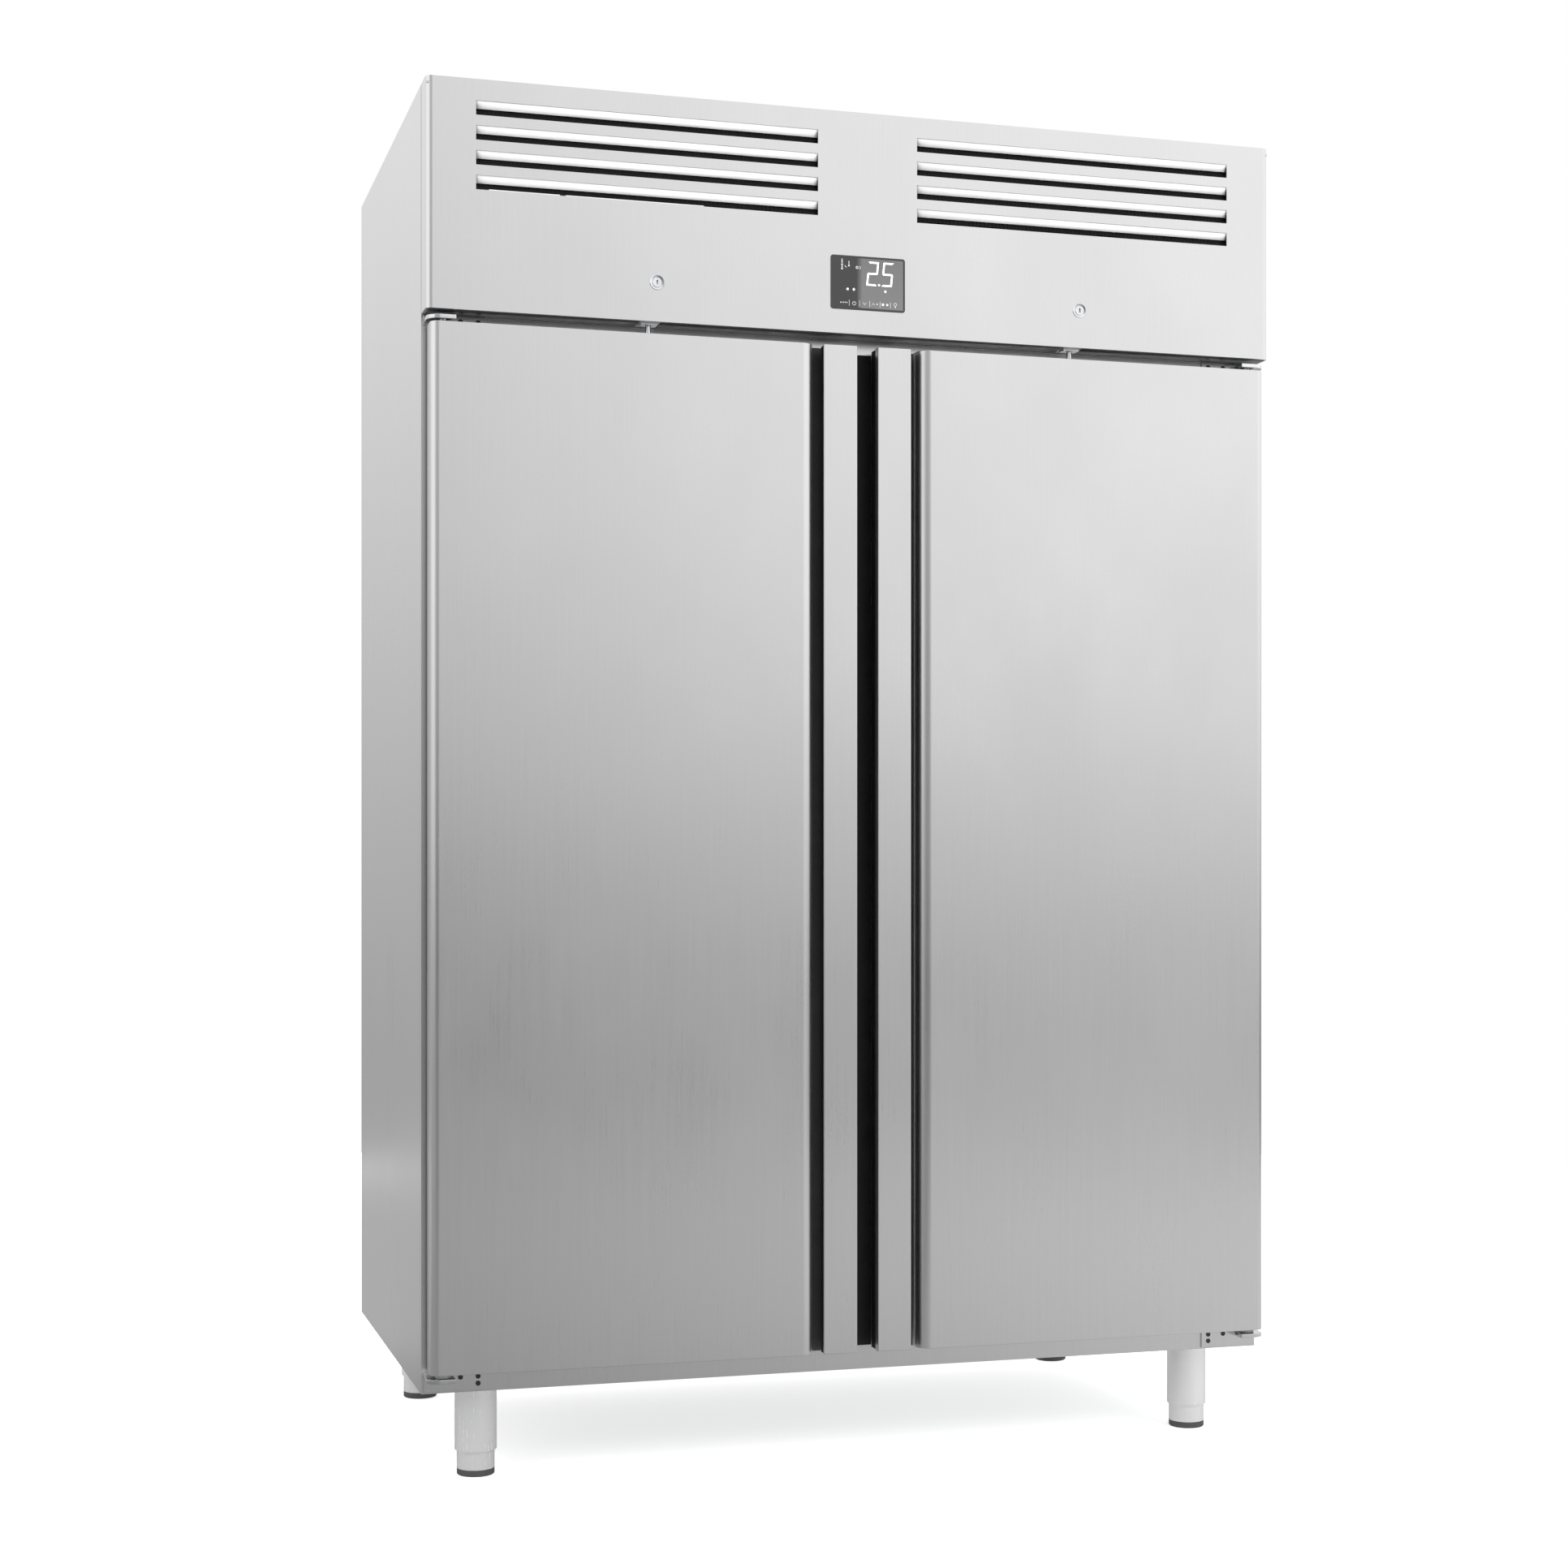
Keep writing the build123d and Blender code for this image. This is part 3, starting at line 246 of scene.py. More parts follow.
def copper_tube():
    """Drawn copper, browned by heat in patches."""
    look = Look("copper_tube", Metallic=1.0)
    patina = look.noise(38, detail=4)
    fine = look.noise(500, detail=2)
    look.feed(
        Base_Color=look.mix(look.ramp(patina, 0, 1, 0.42, 0.72), (0.82, 0.42, 0.26), (0.38, 0.17, 0.10)),
        Roughness=look.ramp(patina, 0.2, 0.42),
        Normal=look.bump(fine, 0.08, 0.1 * MM),
    )
    return look.material


def foam_block():
    """Cream rigid insulation foam with an open-cell surface."""
    look = Look("rigid_foam", Specular_IOR_Level=0.2, Subsurface_Weight=0.05)
    cells = look.node("ShaderNodeTexVoronoi", {"Vector": look.coordinates(900), "Scale": 1.0})
    cloud = look.noise(20, detail=4)
    look.feed(
        Base_Color=look.mix(cloud, (0.72, 0.62, 0.40), (0.84, 0.76, 0.56)),
        Roughness=look.ramp(cloud, 0.8, 0.95),
        Normal=look.bump(cells.outputs["Distance"], 0.5, 0.3 * MM),
    )
    return look.material


# share of the controller's width where the painted reflection, a paler window over the figures, starts
PAINTED_REFLECTION_START = 0.36


def glass_print_and_painted_reflection():
    """The controller's glossy front: black print, with a painted reflection that makes it paler over the
    figures and paler low down than high up.
    """
    look = Look("controller_glass_print_and_painted_reflection", Roughness=0.06, Coat_Weight=0.5, Coat_Roughness=0.03)
    low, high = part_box("controller_glass")
    place = look.node("ShaderNodeTexCoord").outputs["Object"]
    across = look.node("ShaderNodeSeparateXYZ", {"Vector": place})
    width = high.x - low.x
    edge = low.x + PAINTED_REFLECTION_START * width
    # painted reflection: paler grey over the figures, stronger at the bottom than at the top
    inside = look.ramp(across.outputs["X"], 0, 1, edge - 0.02 * width, edge + 0.06 * width)
    reflection_fade = look.ramp(across.outputs["Z"], 1.0, 0.82, low.z, high.z)
    fibres = look.noise(700, detail=2)
    speck = look.ramp(fibres, 0.94, 1.06, 0.3, 0.7)
    strength = look.maths("MULTIPLY", look.maths("MULTIPLY", inside, reflection_fade), speck)
    look.feed(Base_Color=look.mix(strength, grey(0.018), grey(0.155)))
    return look.material


def lit_figures(name, strength, level):
    """White light-emitting segments, slightly uneven."""
    look = Look(name, Emission_Strength=strength, Roughness=0.4)
    uneven = look.noise(900, detail=2)
    colour = look.mix(uneven, grey(0.9 * level, -0.03), grey(level))
    look.feed(Base_Color=colour, Emission_Color=colour)
    return look.material


MATERIALS = {
    "brushed_stainless": brushed_metal("brushed_stainless_sheet", 0.80, 0.30),
    "inner_steel": brushed_metal("inner_sheet_steel", 0.74, 0.33, contrast=0.03),
    "leg_steel": brushed_metal(
        "satin_leg_tube", 0.9, 0.25, grain=(1, 1, 60), anisotropy=0.3, contrast=0.015, metallic=0.68
    ),
    "galvanised_steel": galvanised(),
    "bright_chrome": polished_metal("bright_chrome_plate", (0.86, 0.87, 0.88), 0.08),
    "shelf_wire": polished_metal("plated_shelf_wire", (0.78, 0.79, 0.80), 0.16),
    "coil_aluminium": polished_metal("coil_fin_aluminium", (0.80, 0.81, 0.82), 0.30),
    "copper": copper_tube(),
    "black_enamel": enamel(),
    "fan_plastic": moulded_plastic("black_fan_plastic", grey(0.025), 0.42),
    "grey_plastic": moulded_plastic("grey_moulded_plastic", grey(0.30), 0.45),
    "gasket_rubber": rubber(),
    "foot_plastic": moulded_plastic("dark_foot_plastic", grey(0.055), 0.5, grain=700),
    "foam": foam_block(),
    "bezel_plastic": moulded_plastic("controller_bezel_plastic", grey(0.03), 0.3, coat=0.3),
    "display_glass": glass_print_and_painted_reflection(),
}
FIGURES = lit_figures("lit_figures", 0.9, 1.0)
SIGNS = lit_figures("lit_signs", 0.5, 0.6)
# near-white and not metallic: a painted highlight for the glare the vanes catch, not the steel's own colour
LOUVRE_PAINTED_GLARE = brushed_metal(
    "louvre_painted_glare_white", 0.98, 0.5, grain=(90, 1, 1), contrast=0.01, metallic=0.0
)
DARK_STEEL = polished_metal("dark_screw_steel", (0.10, 0.10, 0.11), 0.3)
# painted shade and light: near-black for the shade in the recesses, behind the grips and between the doors;
# pale grey for the light on the recess wall; dark grey for the shade on the recess floor
SHADOW_PLASTIC = moulded_plastic("dark_recess_lining", grey(0.005), 0.6)
PAINTED_LIGHT_RECESS_WALL = moulded_plastic("painted_light_recess_wall", grey(0.45), 0.5)
PAINTED_SHADE_RECESS_FLOOR = moulded_plastic("painted_shade_recess_floor", grey(0.035), 0.5)
# a filter plastic so near-black that it stands in for the shade inside the machine compartment seen through
# the slots
FILTER_AND_PAINTED_SHADE = moulded_plastic("dust_filter_painted_shade", grey(0.004), 0.7, grain=500)

for cad in NODES.values():
    for material_slot in cad.material_slots:
        slot_name = material_slot.material.name.split(".")[0]
        material_slot.material = MATERIALS[slot_name]


# ---------------------------------------------------------------- mesh tools
SMOOTH_ANGLE = radians(38)
CORNER_ANGLE = radians(25)


def mesh_object(name, bm, material):
    """An object from a bmesh, smooth across gentle angles and crisp across sharp ones."""
    mesh = bpy.data.meshes.new(name)
    bmesh.ops.recalc_face_normals(bm, faces=bm.faces)
    bm.to_mesh(mesh)
    bm.free()
    mesh.polygons.foreach_set("use_smooth", [True] * len(mesh.polygons))
    mesh.set_sharp_from_angle(angle=SMOOTH_ANGLE)
    mesh.materials.append(material)
    made = bpy.data.objects.new(name, mesh)
    bpy.context.scene.collection.objects.link(made)
    return made


def add_piece(made, body, stands_for=()):
    """Puts a finished piece on its body and the nodes it stands for."""
    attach(made, body)
    if stands_for:
        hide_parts(*stands_for)
    return made


def flatten_shading(made):
    """Keeps large flat faces evenly shaded up to their rounded edges."""
    normals = made.modifiers.new("even_normals", "WEIGHTED_NORMAL")
    normals.keep_sharp = True
    normals.weight = 90


def cad_mesh(node):
    """A node's mesh as a bmesh with shared corners and without needless edges in its flat faces."""
    mesh = NODES[node].data.copy()
    if "custom_normal" in mesh.attributes:
        mesh.attributes.remove(mesh.attributes["custom_normal"])
    bm = bmesh.new()
    bm.from_mesh(mesh)
    bpy.data.meshes.remove(mesh)
    bmesh.ops.remove_doubles(bm, verts=bm.verts, dist=0.01 * MM)
    bmesh.ops.dissolve_limit(bm, angle_limit=radians(0.6), verts=bm.verts, edges=bm.edges)
    return bm


def middle_of(edge):
    return (edge.verts[0].co + edge.verts[1].co) / 2


def is_corner(edge):
    return len(edge.link_faces) == 2 and edge.calc_face_angle(0) > CORNER_ANGLE


def round_edges(bm, edges, radius, steps=2):
    """Rounds edges by a radius and returns the faces that this makes."""
    made = bmesh.ops.bevel(
        bm, geom=edges, offset=radius, segments=steps, profile=0.5, affect="EDGES", clamp_overlap=True
    )
    return made["faces"]


def softened(node, small, bends=()):
    """Stands for a CAD node with its edges rounded: each bend is a radius, a number of steps and
    a test of an edge, and every corner that is left is broken by a small radius."""
    bm = cad_mesh(node)
    done = set()
    for radius, steps, chosen in bends:
        edges = [e for e in bm.edges if is_corner(e) and chosen(e)]
        for face in round_edges(bm, edges, radius, steps):
            done.update(face.edges)
    round_edges(bm, [e for e in bm.edges if e not in done and is_corner(e)], small)
    material = NODES[node].material_slots[0].material
    made = mesh_object(node + "_finished", bm, material)
    flatten_shading(made)
    return add_piece(made, BODY_OF[node], [node])


def add_block(bm, low, high):
    """A box between two corners."""
    middle = (Vector(low) + Vector(high)) / 2
    size = Vector(high) - Vector(low)
    made = bmesh.ops.create_cube(bm, size=1)
    for vert in made["verts"]:
        vert.co = Vector(a * b for a, b in zip(vert.co, size)) + middle


def add_prism(bm, outline, near, far):
    """A flat outline of x and z points, thickened along y from near to far."""
    front = [bm.verts.new((x, near, z)) for x, z in outline]
    back = [bm.verts.new((x, far, z)) for x, z in outline]
    bm.faces.new(front)
    bm.faces.new(reversed(back))
    for index in range(len(outline)):
        following = (index + 1) % len(outline)
        bm.faces.new((front[index], front[following], back[following], back[index]))


def add_turned(bm, profile, origin, axis, steps=48):
    """A turned shape: profile is radius and distance along the axis, from one end to the other."""
    axis = Vector(axis).normalized()
    across = axis.orthogonal().normalized()
    other = axis.cross(across)
    rings = []
    for radius, along in profile:
        centre = Vector(origin) + axis * along
        if radius == 0:
            rings.append([bm.verts.new(centre)])
            continue
        angles = [2 * pi * index / steps for index in range(steps)]
        rings.append([bm.verts.new(centre + radius * (cos(a) * across + sin(a) * other)) for a in angles])
    for first, second in zip(rings, rings[1:]):
        for index in range(steps):
            corners = [ring[i % len(ring)] for ring, i in
                       ((first, index), (first, index + 1), (second, index + 1), (second, index))]
            unique = list(dict.fromkeys(corners))
            if len(unique) > 2:
                bm.faces.new(unique)


def turned_piece(name, profile, places, axis, body, slot, stands_for=(), steps=48):
    """The same turned shape at several places, as one piece."""
    bm = bmesh.new()
    for place in places:
        add_turned(bm, profile, place, axis, steps)
    return add_piece(mesh_object(name, bm, MATERIALS[slot]), body, stands_for)


def wire_piece(name, lines, radius, body, slot):
    """Round wires: each line is its points and whether it closes on itself."""
    curve = bpy.data.curves.new(name, "CURVE")
    curve.dimensions = "3D"
    curve.bevel_depth = radius
    curve.bevel_resolution = 3
    for points, closed in lines:
        spline = curve.splines.new("POLY")
        spline.points.add(len(points) - 1)
        for point, place in zip(spline.points, points):
            point.co = (*place, 1)
        spline.use_cyclic_u = closed
    curve.materials.append(MATERIALS[slot])
    curve.use_fill_caps = True
    made = bpy.data.objects.new(name, curve)
    bpy.context.scene.collection.objects.link(made)
    return add_piece(made, body)


def circle_points(centre, radius, first, second, steps=40):
    """Points round a circle in the plane of two directions."""
    angles = [2 * pi * index / steps for index in range(steps)]
    return [Vector(centre) + radius * (cos(a) * Vector(first) + sin(a) * Vector(second)) for a in angles]


# ---------------------------------------------------------------- sheet metal
FEET = [f"{row}_{name}" for row in ("front", "rear") for name in SIDES]
GRIP_LIP = 2.6 * MM
GRIP_FOLD = 13 * MM
GRIP_SHEET = 0.8 * MM
SHADE_SHEET = 0.5 * MM
RECESS_OUTER = 80 * MM
RECESS_INNER = 34 * MM
RECESS_DEPTH = 31 * MM
SEAL_GAP_OUTER = 340 * MM
SEAL_GAP_INNER = 309 * MM
# a vane is longer than 0.3 m and more than 5 mm wide
VANE_AREA = 0.3 * 5 * MM
VANE_STAND = 0.25 * MM
FILTER_PITCH = 6 * MM
FILTER_RIB = 1.5 * MM
EDGE_BREAK = 0.3 * MM
PANEL_BREAK = 0.4 * MM
LINER_BREAK = 0.35 * MM
SKIN_FOLD = 0.9 * MM
BRACKET_ROUNDING = 0.9 * MM
GRIP_ROUNDING = 1.2 * MM
GRIP_BODY_ROUNDING = 0.5 * MM
SLEEVE_ROUNDING = 0.5 * MM
CAP_ROUNDING = 0.6 * MM
WALL_SHOWN = 9 * MM
SHADE_STRIP_HALF = 20 * MM
SHADE_STRIP_THICK = 0.8 * MM
SEAL_REACH = 0.9 * MM


def upright(edge):
    """True for an edge that runs straight up."""
    span = edge.verts[1].co - edge.verts[0].co
    return abs(span.z) > 0.99 * span.length


def on_ends(low, high):
    """A test for edges round the top and bottom of a box, apart from those at its back."""

    def chosen(edge):
        place = middle_of(edge)
        at_end = min(abs(place.z - low.z), abs(place.z - high.z)) < 0.4 * MM
        return at_end and not upright(edge) and place.y < high.y - 2 * MM

    return chosen


def door_grip(name, side):
    """The grip's face with a deep fold along its free edge, and the body it is clipped on, near-black as
    painted shade behind the face.
    """
    low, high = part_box(f"{name}_door_handle")
    lip = low.y + GRIP_LIP
    bm = bmesh.new()
    add_block(bm, low, (high.x, lip, high.z))
    edges = [edge for edge in bm.edges if middle_of(edge).y < low.y + MM]
    round_edges(bm, edges, GRIP_ROUNDING, 4)
    free = low.x if side > 0 else high.x
    folded = free + side * GRIP_SHEET
    add_block(bm, (min(free, folded), lip, low.z), (max(free, folded), low.y + GRIP_FOLD, high.z))
    face = mesh_object(f"{name}_grip_face", bm, MATERIALS["brushed_stainless"])
    flatten_shading(face)
    add_piece(face, f"{name}_door", [f"{name}_door_handle"])

    bm = bmesh.new()
    inset = Vector((GRIP_SHEET, 0, 1.2 * MM))
    add_block(bm, Vector((low.x, lip, low.z)) + inset, high - inset)
    round_edges(bm, [edge for edge in bm.edges if is_corner(edge)], GRIP_BODY_ROUNDING)
    # near-black: painted shade behind the grip's face
    body = mesh_object(f"{name}_grip_shade_body", bm, SHADOW_PLASTIC)
    add_piece(body, f"{name}_door")


def recess_painted_shade(name, side):
    """A near-black sheet along the finger recess, behind the grip and on the door's inner edge, that is
    painted shade there, with its floor a dark grey painted shade and a pale strip of wall that is painted
    light."""
    skin_low, skin_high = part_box(f"{name}_door_skin")
    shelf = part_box(f"{name}_door_handle")[1].y
    inner_edge = min(abs(skin_low.x), abs(skin_high.x))
    low_z = skin_low.z + 0.6 * MM
    high_z = skin_high.z - 0.6 * MM
    floor_y = skin_low.y + RECESS_DEPTH
    outline = [
        (RECESS_OUTER, floor_y - WALL_SHOWN), (RECESS_OUTER - SHADE_SHEET, floor_y - WALL_SHOWN),
        (RECESS_OUTER - SHADE_SHEET, floor_y - SHADE_SHEET), (RECESS_INNER + SHADE_SHEET, floor_y - SHADE_SHEET),
        (RECESS_INNER + SHADE_SHEET, shelf + 0.1 * MM), (inner_edge - SHADE_SHEET, shelf + 0.1 * MM),
        (inner_edge - SHADE_SHEET, skin_high.y), (inner_edge, skin_high.y),
        (inner_edge, shelf + SHADE_SHEET), (RECESS_INNER, shelf + SHADE_SHEET),
        (RECESS_INNER, floor_y), (RECESS_OUTER, floor_y),
    ]
    bm = bmesh.new()
    bottom = [bm.verts.new((side * x, y, low_z)) for x, y in outline]
    top = [bm.verts.new((side * x, y, high_z)) for x, y in outline]
    for index in range(len(outline)):
        following = (index + 1) % len(outline)
        bm.faces.new((bottom[index], bottom[following], top[following], top[index]))
    bm.faces.new(bottom)
    bm.faces.new(top)
    made = mesh_object(f"{name}_recess_lining", bm, SHADOW_PLASTIC)
    made.data.materials.append(PAINTED_LIGHT_RECESS_WALL)
    made.data.materials.append(PAINTED_SHADE_RECESS_FLOOR)
    # painted light on the wall strip, and painted shade a little lighter on the floor
    for face in made.data.polygons:
        if abs(face.center.x) > RECESS_OUTER - 2 * SHADE_SHEET:
            face.material_index = 1
        elif face.center.y > floor_y - 2 * SHADE_SHEET and abs(face.center.x) > RECESS_INNER:
            face.material_index = 2
    add_piece(made, f"{name}_door")


def finish_doors():
    """Folded edges on the door skins and liners, with the grips, and painted shade in the finger recesses."""
    for name, side in SIDES.items():
        ends = on_ends(*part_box(f"{name}_door_skin"))
        softened(f"{name}_door_skin", EDGE_BREAK, [(SKIN_FOLD, 3, ends)])
        softened(f"{name}_door_liner", LINER_BREAK)
        door_grip(name, side)
        recess_painted_shade(name, side)


def shade_and_seal_strips():
    """A near-black strip down the frame between the doors, painted shade in the gap there, and a seal under
    the head panel, dark also as painted shade.
    """
    frame_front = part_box("front_frame")[0].y
    door_low, door_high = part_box("left_door_skin")
    bm = bmesh.new()
    # painted shade: a near-black strip in the gap between the doors
    shade_strip_low = (-SHADE_STRIP_HALF, frame_front - SHADE_STRIP_THICK, door_low.z + 2 * MM)
    add_block(bm, shade_strip_low, (SHADE_STRIP_HALF, frame_front, door_high.z - 4 * MM))
    round_edges(bm, [edge for edge in bm.edges if upright(edge)], EDGE_BREAK)
    add_piece(mesh_object("centre_shade_strip", bm, SHADOW_PLASTIC), "cabinet")

    # a seal under the head panel, black also as painted shade in the gap above the doors
    head_low, head_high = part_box("head_panel")
    bm = bmesh.new()
    inset = 4 * MM
    stretches = [
        (head_low.x + inset, -SEAL_GAP_OUTER), (-SEAL_GAP_INNER, SEAL_GAP_INNER),
        (SEAL_GAP_OUTER, head_high.x - inset),
    ]
    for low_x, high_x in stretches:
        seal_low = (low_x, head_low.y + 6 * MM, head_low.z - SEAL_REACH)
        add_block(bm, seal_low, (high_x, head_low.y + 38 * MM, head_low.z + 0.1 * MM))
    edges = [edge for edge in bm.edges if middle_of(edge).z < head_low.z - SEAL_REACH / 2]
    round_edges(bm, edges, PANEL_BREAK)
    add_piece(mesh_object("head_seal_and_shade", bm, MATERIALS["bezel_plastic"]), "head")


def louvre_vanes():
    """White sheets over the sloping vanes behind the head panel's slots, a painted highlight for the glare
    the vanes catch, and the filters there.
    """
    bm = cad_mesh("head_panel")
    slopes = [
        face for face in bm.faces
        if face.normal.y < -0.5 and face.normal.z < -0.2 and face.calc_area() > VANE_AREA
    ]
    sheet = bmesh.new()
    for face in slopes:
        outward = face.normal * VANE_STAND
        sheet.faces.new([sheet.verts.new(vert.co + outward) for vert in face.verts])
    bm.free()
    made = mesh_object("louvre_glare_sheets", sheet, LOUVRE_PAINTED_GLARE)
    places = [vert.co.copy() for vert in made.data.vertices]
    thick = made.modifiers.new("sheet", "SOLIDIFY")
    thick.thickness = VANE_STAND * 0.8
    thick.offset = -1
    add_piece(made, "head")
    dust_filters(places)


def dust_filters(places):
    """A ribbed filter behind each group of slots, near-black so that it is also painted shade inside the
    head; places are points on the vanes.
    """
    top = max(place.z for place in places) + 5 * MM
    bottom = min(place.z for place in places) - 6 * MM
    front = max(place.y for place in places) + 2.5 * MM
    bm = bmesh.new()
    for side in SIDES.values():
        reach = [abs(place.x) for place in places if place.x * side > 0]
        inner, outer = min(reach) - 5 * MM, max(reach) + 5 * MM
        low_x, high_x = sorted((side * inner, side * outer))
        add_block(bm, (low_x, front + MM, bottom), (high_x, front + 2 * MM, top))
        ribs = int((high_x - low_x) / FILTER_PITCH)
        for index in range(ribs + 1):
            x = low_x + (high_x - low_x - FILTER_RIB) * index / ribs
            add_block(bm, (x, front, bottom), (x + FILTER_RIB, front + MM, top))
    add_piece(mesh_object("dust_filters", bm, FILTER_AND_PAINTED_SHADE), "head")


def finish_casing():
    """Broken edges on the casing's sheets, the head panel and the brackets."""
    for name in SIDES:
        softened(f"{name}_side_panel", PANEL_BREAK)
    for node in ("top_cover", "back_panel", "front_frame", "head_panel", "evaporator_cover", "fan_shroud"):
        softened(node, EDGE_BREAK)
    for node in ("top_hinge_brackets", "bottom_hinge_brackets"):
        two_finish_brackets(node)
    for node in ("lock_housings", "panel_hinges", "controller_bezel", "power_inlet", "leg_tubes"):
        softened(node, EDGE_BREAK)
    for node in ("shelf_uprights", "shelf_runners", "electrical_box"):
        softened(node, EDGE_BREAK)
    for name in FEET:
        softened(f"{name}_foot_sleeve", SLEEVE_ROUNDING)
        softened(f"{name}_foot_cap", CAP_ROUNDING)


def two_finish_brackets(node):
    """A bracket whose leaf is brushed like the frame and whose arm stays plated."""
    made = softened(node, BRACKET_ROUNDING)
    made.data.materials.append(MATERIALS["brushed_stainless"])
    leaf_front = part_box("front_frame")[0].y - 3.4 * MM
    for face in made.data.polygons:
        if face.center.y > leaf_front:
            face.material_index = 1


finish_doors()
finish_casing()
shade_and_seal_strips()
louvre_vanes()


# ---------------------------------------------------------------- door seals
SEAL_SECTION = [
    (0, 0), (20, 0), (20, 1.8), (17.4, 2.6), (19.0, 4.2), (17.2, 5.8), (18.8, 7.2), (18.8, 9.4),
    (1.6, 9.4), (1.0, 8.2), (3.0, 6.6), (1.0, 5.0), (3.0, 3.4), (0.4, 2.0),
]


def door_seal(name):
    """A bellows strip round the back of a door, mitred at the corners. Its section gives the
    distance in from the outer edge and the distance out from the door."""
    low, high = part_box(f"{name}_door_gasket")
    bm = bmesh.new()
    corners = [
        (low.x, low.z, 1, 1), (high.x, low.z, -1, 1), (high.x, high.z, -1, -1), (low.x, high.z, 1, -1)
    ]
    loops = []
    for x, z, inward_x, inward_z in corners:
        points = [
            (x + inward_x * inset * MM, low.y + out * MM, z + inward_z * inset * MM)
            for inset, out in SEAL_SECTION
        ]
        loops.append([bm.verts.new(point) for point in points])
    for index, loop in enumerate(loops):
        following = loops[(index + 1) % len(loops)]
        for step in range(len(loop)):
            after = (step + 1) % len(loop)
            bm.faces.new((loop[step], loop[after], following[after], following[step]))
    edges = [e for e in bm.edges if is_corner(e) and not e.verts[0].co.y == low.y]
    round_edges(bm, edges, LINER_BREAK)
    made = mesh_object(f"{name}_door_seal", bm, MATERIALS["gasket_rubber"])
    add_piece(made, f"{name}_door", [f"{name}_door_gasket"])


for name in SIDES:
    door_seal(name)


# ---------------------------------------------------------------- screws and locks
def solids_of(node):
    """Lowest and highest corner of each separate solid in a node."""
    bm = cad_mesh(node)
    left = set(bm.verts)
    boxes = []
    while left:
        found = []
        waiting = [left.pop()]
        while waiting:
            vert = waiting.pop()
            found.append(vert.co.copy())
            for edge in vert.link_edges:
                other = edge.other_vert(vert)
                if other in left:
                    left.remove(other)
                    waiting.append(other)
        low = Vector(min(point[axis] for point in found) for axis in range(3))
        high = Vector(max(point[axis] for point in found) for axis in range(3))
        boxes.append((low, high))
    bm.free()
    return boxes


def carve(made, cutter):
    """Cuts one mesh out of another, for good."""
    tool = mesh_object("cutter", cutter, made.data.materials[0])
    cutting = made.modifiers.new("carve", "BOOLEAN")
    cutting.object = tool
    cutting.solver = "EXACT"
    bpy.context.view_layer.update()
    result = bpy.data.meshes.new_from_object(made.evaluated_get(bpy.context.evaluated_depsgraph_get()))
    made.modifiers.clear()
    made.data = result
    result.set_sharp_from_angle(angle=SMOOTH_ANGLE)
    bpy.data.objects.remove(tool)


def back_centre(low, high):
    """The middle of a box's rear face."""
    return Vector(((low.x + high.x) / 2, high.y, (low.z + high.z) / 2))


def in_metres(profile):
    """A turned profile given in millimetres, in metres."""
    return [(radius * MM, along * MM) for radius, along in profile]


# radius and height in millimetres, from the middle of each head's underside to its socket's bottom
SCREW_HEAD = [
    (0, 0), (3.6, 0), (3.6, 0.5), (3.2, 1.1), (2.5, 1.5), (2.15, 1.6), (1.9, 1.5), (1.8, 0.5), (0, 0.4)
]
PAN_HEAD = [
    (0, -0.3), (3.9, -0.3), (3.9, 0.3), (3.4, 0.85), (2.4, 1.1), (1.5, 1.1), (1.3, 0.9), (1.2, 0.3), (0, 0.25)
]


def hinge_screws():
    """Button-headed socket screws in the hinge leaves."""
    places = [back_centre(low, high) for low, high in solids_of("hinge_screws")]
    made = turned_piece(
        "hinge_screw_heads", in_metres(SCREW_HEAD), places, (0, -1, 0), "cabinet", "bright_chrome",
        ["hinge_screws"], 24,
    )
    # the heads are dark steel, much darker than the chrome of their slot
    made.data.materials[0] = DARK_STEEL


# how far forward the profile below reaches, in millimetres
LOCK_LONG = 15
# radius and distance forward in millimetres, from the middle of the cylinder's back to its barrel
LOCK_FACE = [
    (0, 0), (8.9, 0), (8.9, 14), (11, 14), (11, 14.5), (10.5, 15), (8.7, 15), (8.2, 14.7), (7.9, 12.4),
    (7.2, 12.4), (7.0, 14.2), (6.6, 14.6), (0, 14.6),
]


def lock_cylinders():
    """A chrome ring with a keyed barrel inside it, over each door."""
    for name in SIDES:
        low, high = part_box(f"{name}_lock_cylinder")
        back = back_centre(low, high)
        stretch = (high.y - low.y) / (LOCK_LONG * MM)
        bm = bmesh.new()
        profile = [(radius, along * stretch) for radius, along in in_metres(LOCK_FACE)]
        add_turned(bm, profile, back, (0, -1, 0), 56)
        made = mesh_object(f"{name}_lock_face", bm, MATERIALS["bright_chrome"])
        cutter = bmesh.new()
        half = Vector((1.0 * MM, 0, 3.4 * MM))
        face = Vector((back.x, low.y, back.z))
        add_block(cutter, face - half - Vector((0, MM, 0)), face + half + Vector((0, 8 * MM, 0)))
        carve(made, cutter)
        add_piece(made, f"{name}_lock", [f"{name}_lock_cylinder"])


def back_screws():
    """Pan-headed screws round the edge of the back panel and along the machine deck."""
    low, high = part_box("back_panel")
    columns = 6
    rows = 9
    inset = 9 * MM
    spots = []
    for index in range(rows):
        z = low.z + inset + (high.z - low.z - 2 * inset) * index / (rows - 1)
        spots += [(low.x + inset, z), (high.x - inset, z)]
    for index in range(1, columns):
        x = low.x + inset + (high.x - low.x - 2 * inset) * index / columns
        spots += [(x, low.z + inset), (x, high.z - inset), (x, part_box("machine_deck")[1].z + inset)]
    places = [Vector((x, high.y, z)) for x, z in spots]
    turned_piece(
        "back_panel_screws", in_metres(PAN_HEAD), places, (0, 1, 0), "cabinet", "bright_chrome", steps=20
    )


hinge_screws()
lock_cylinders()
back_screws()


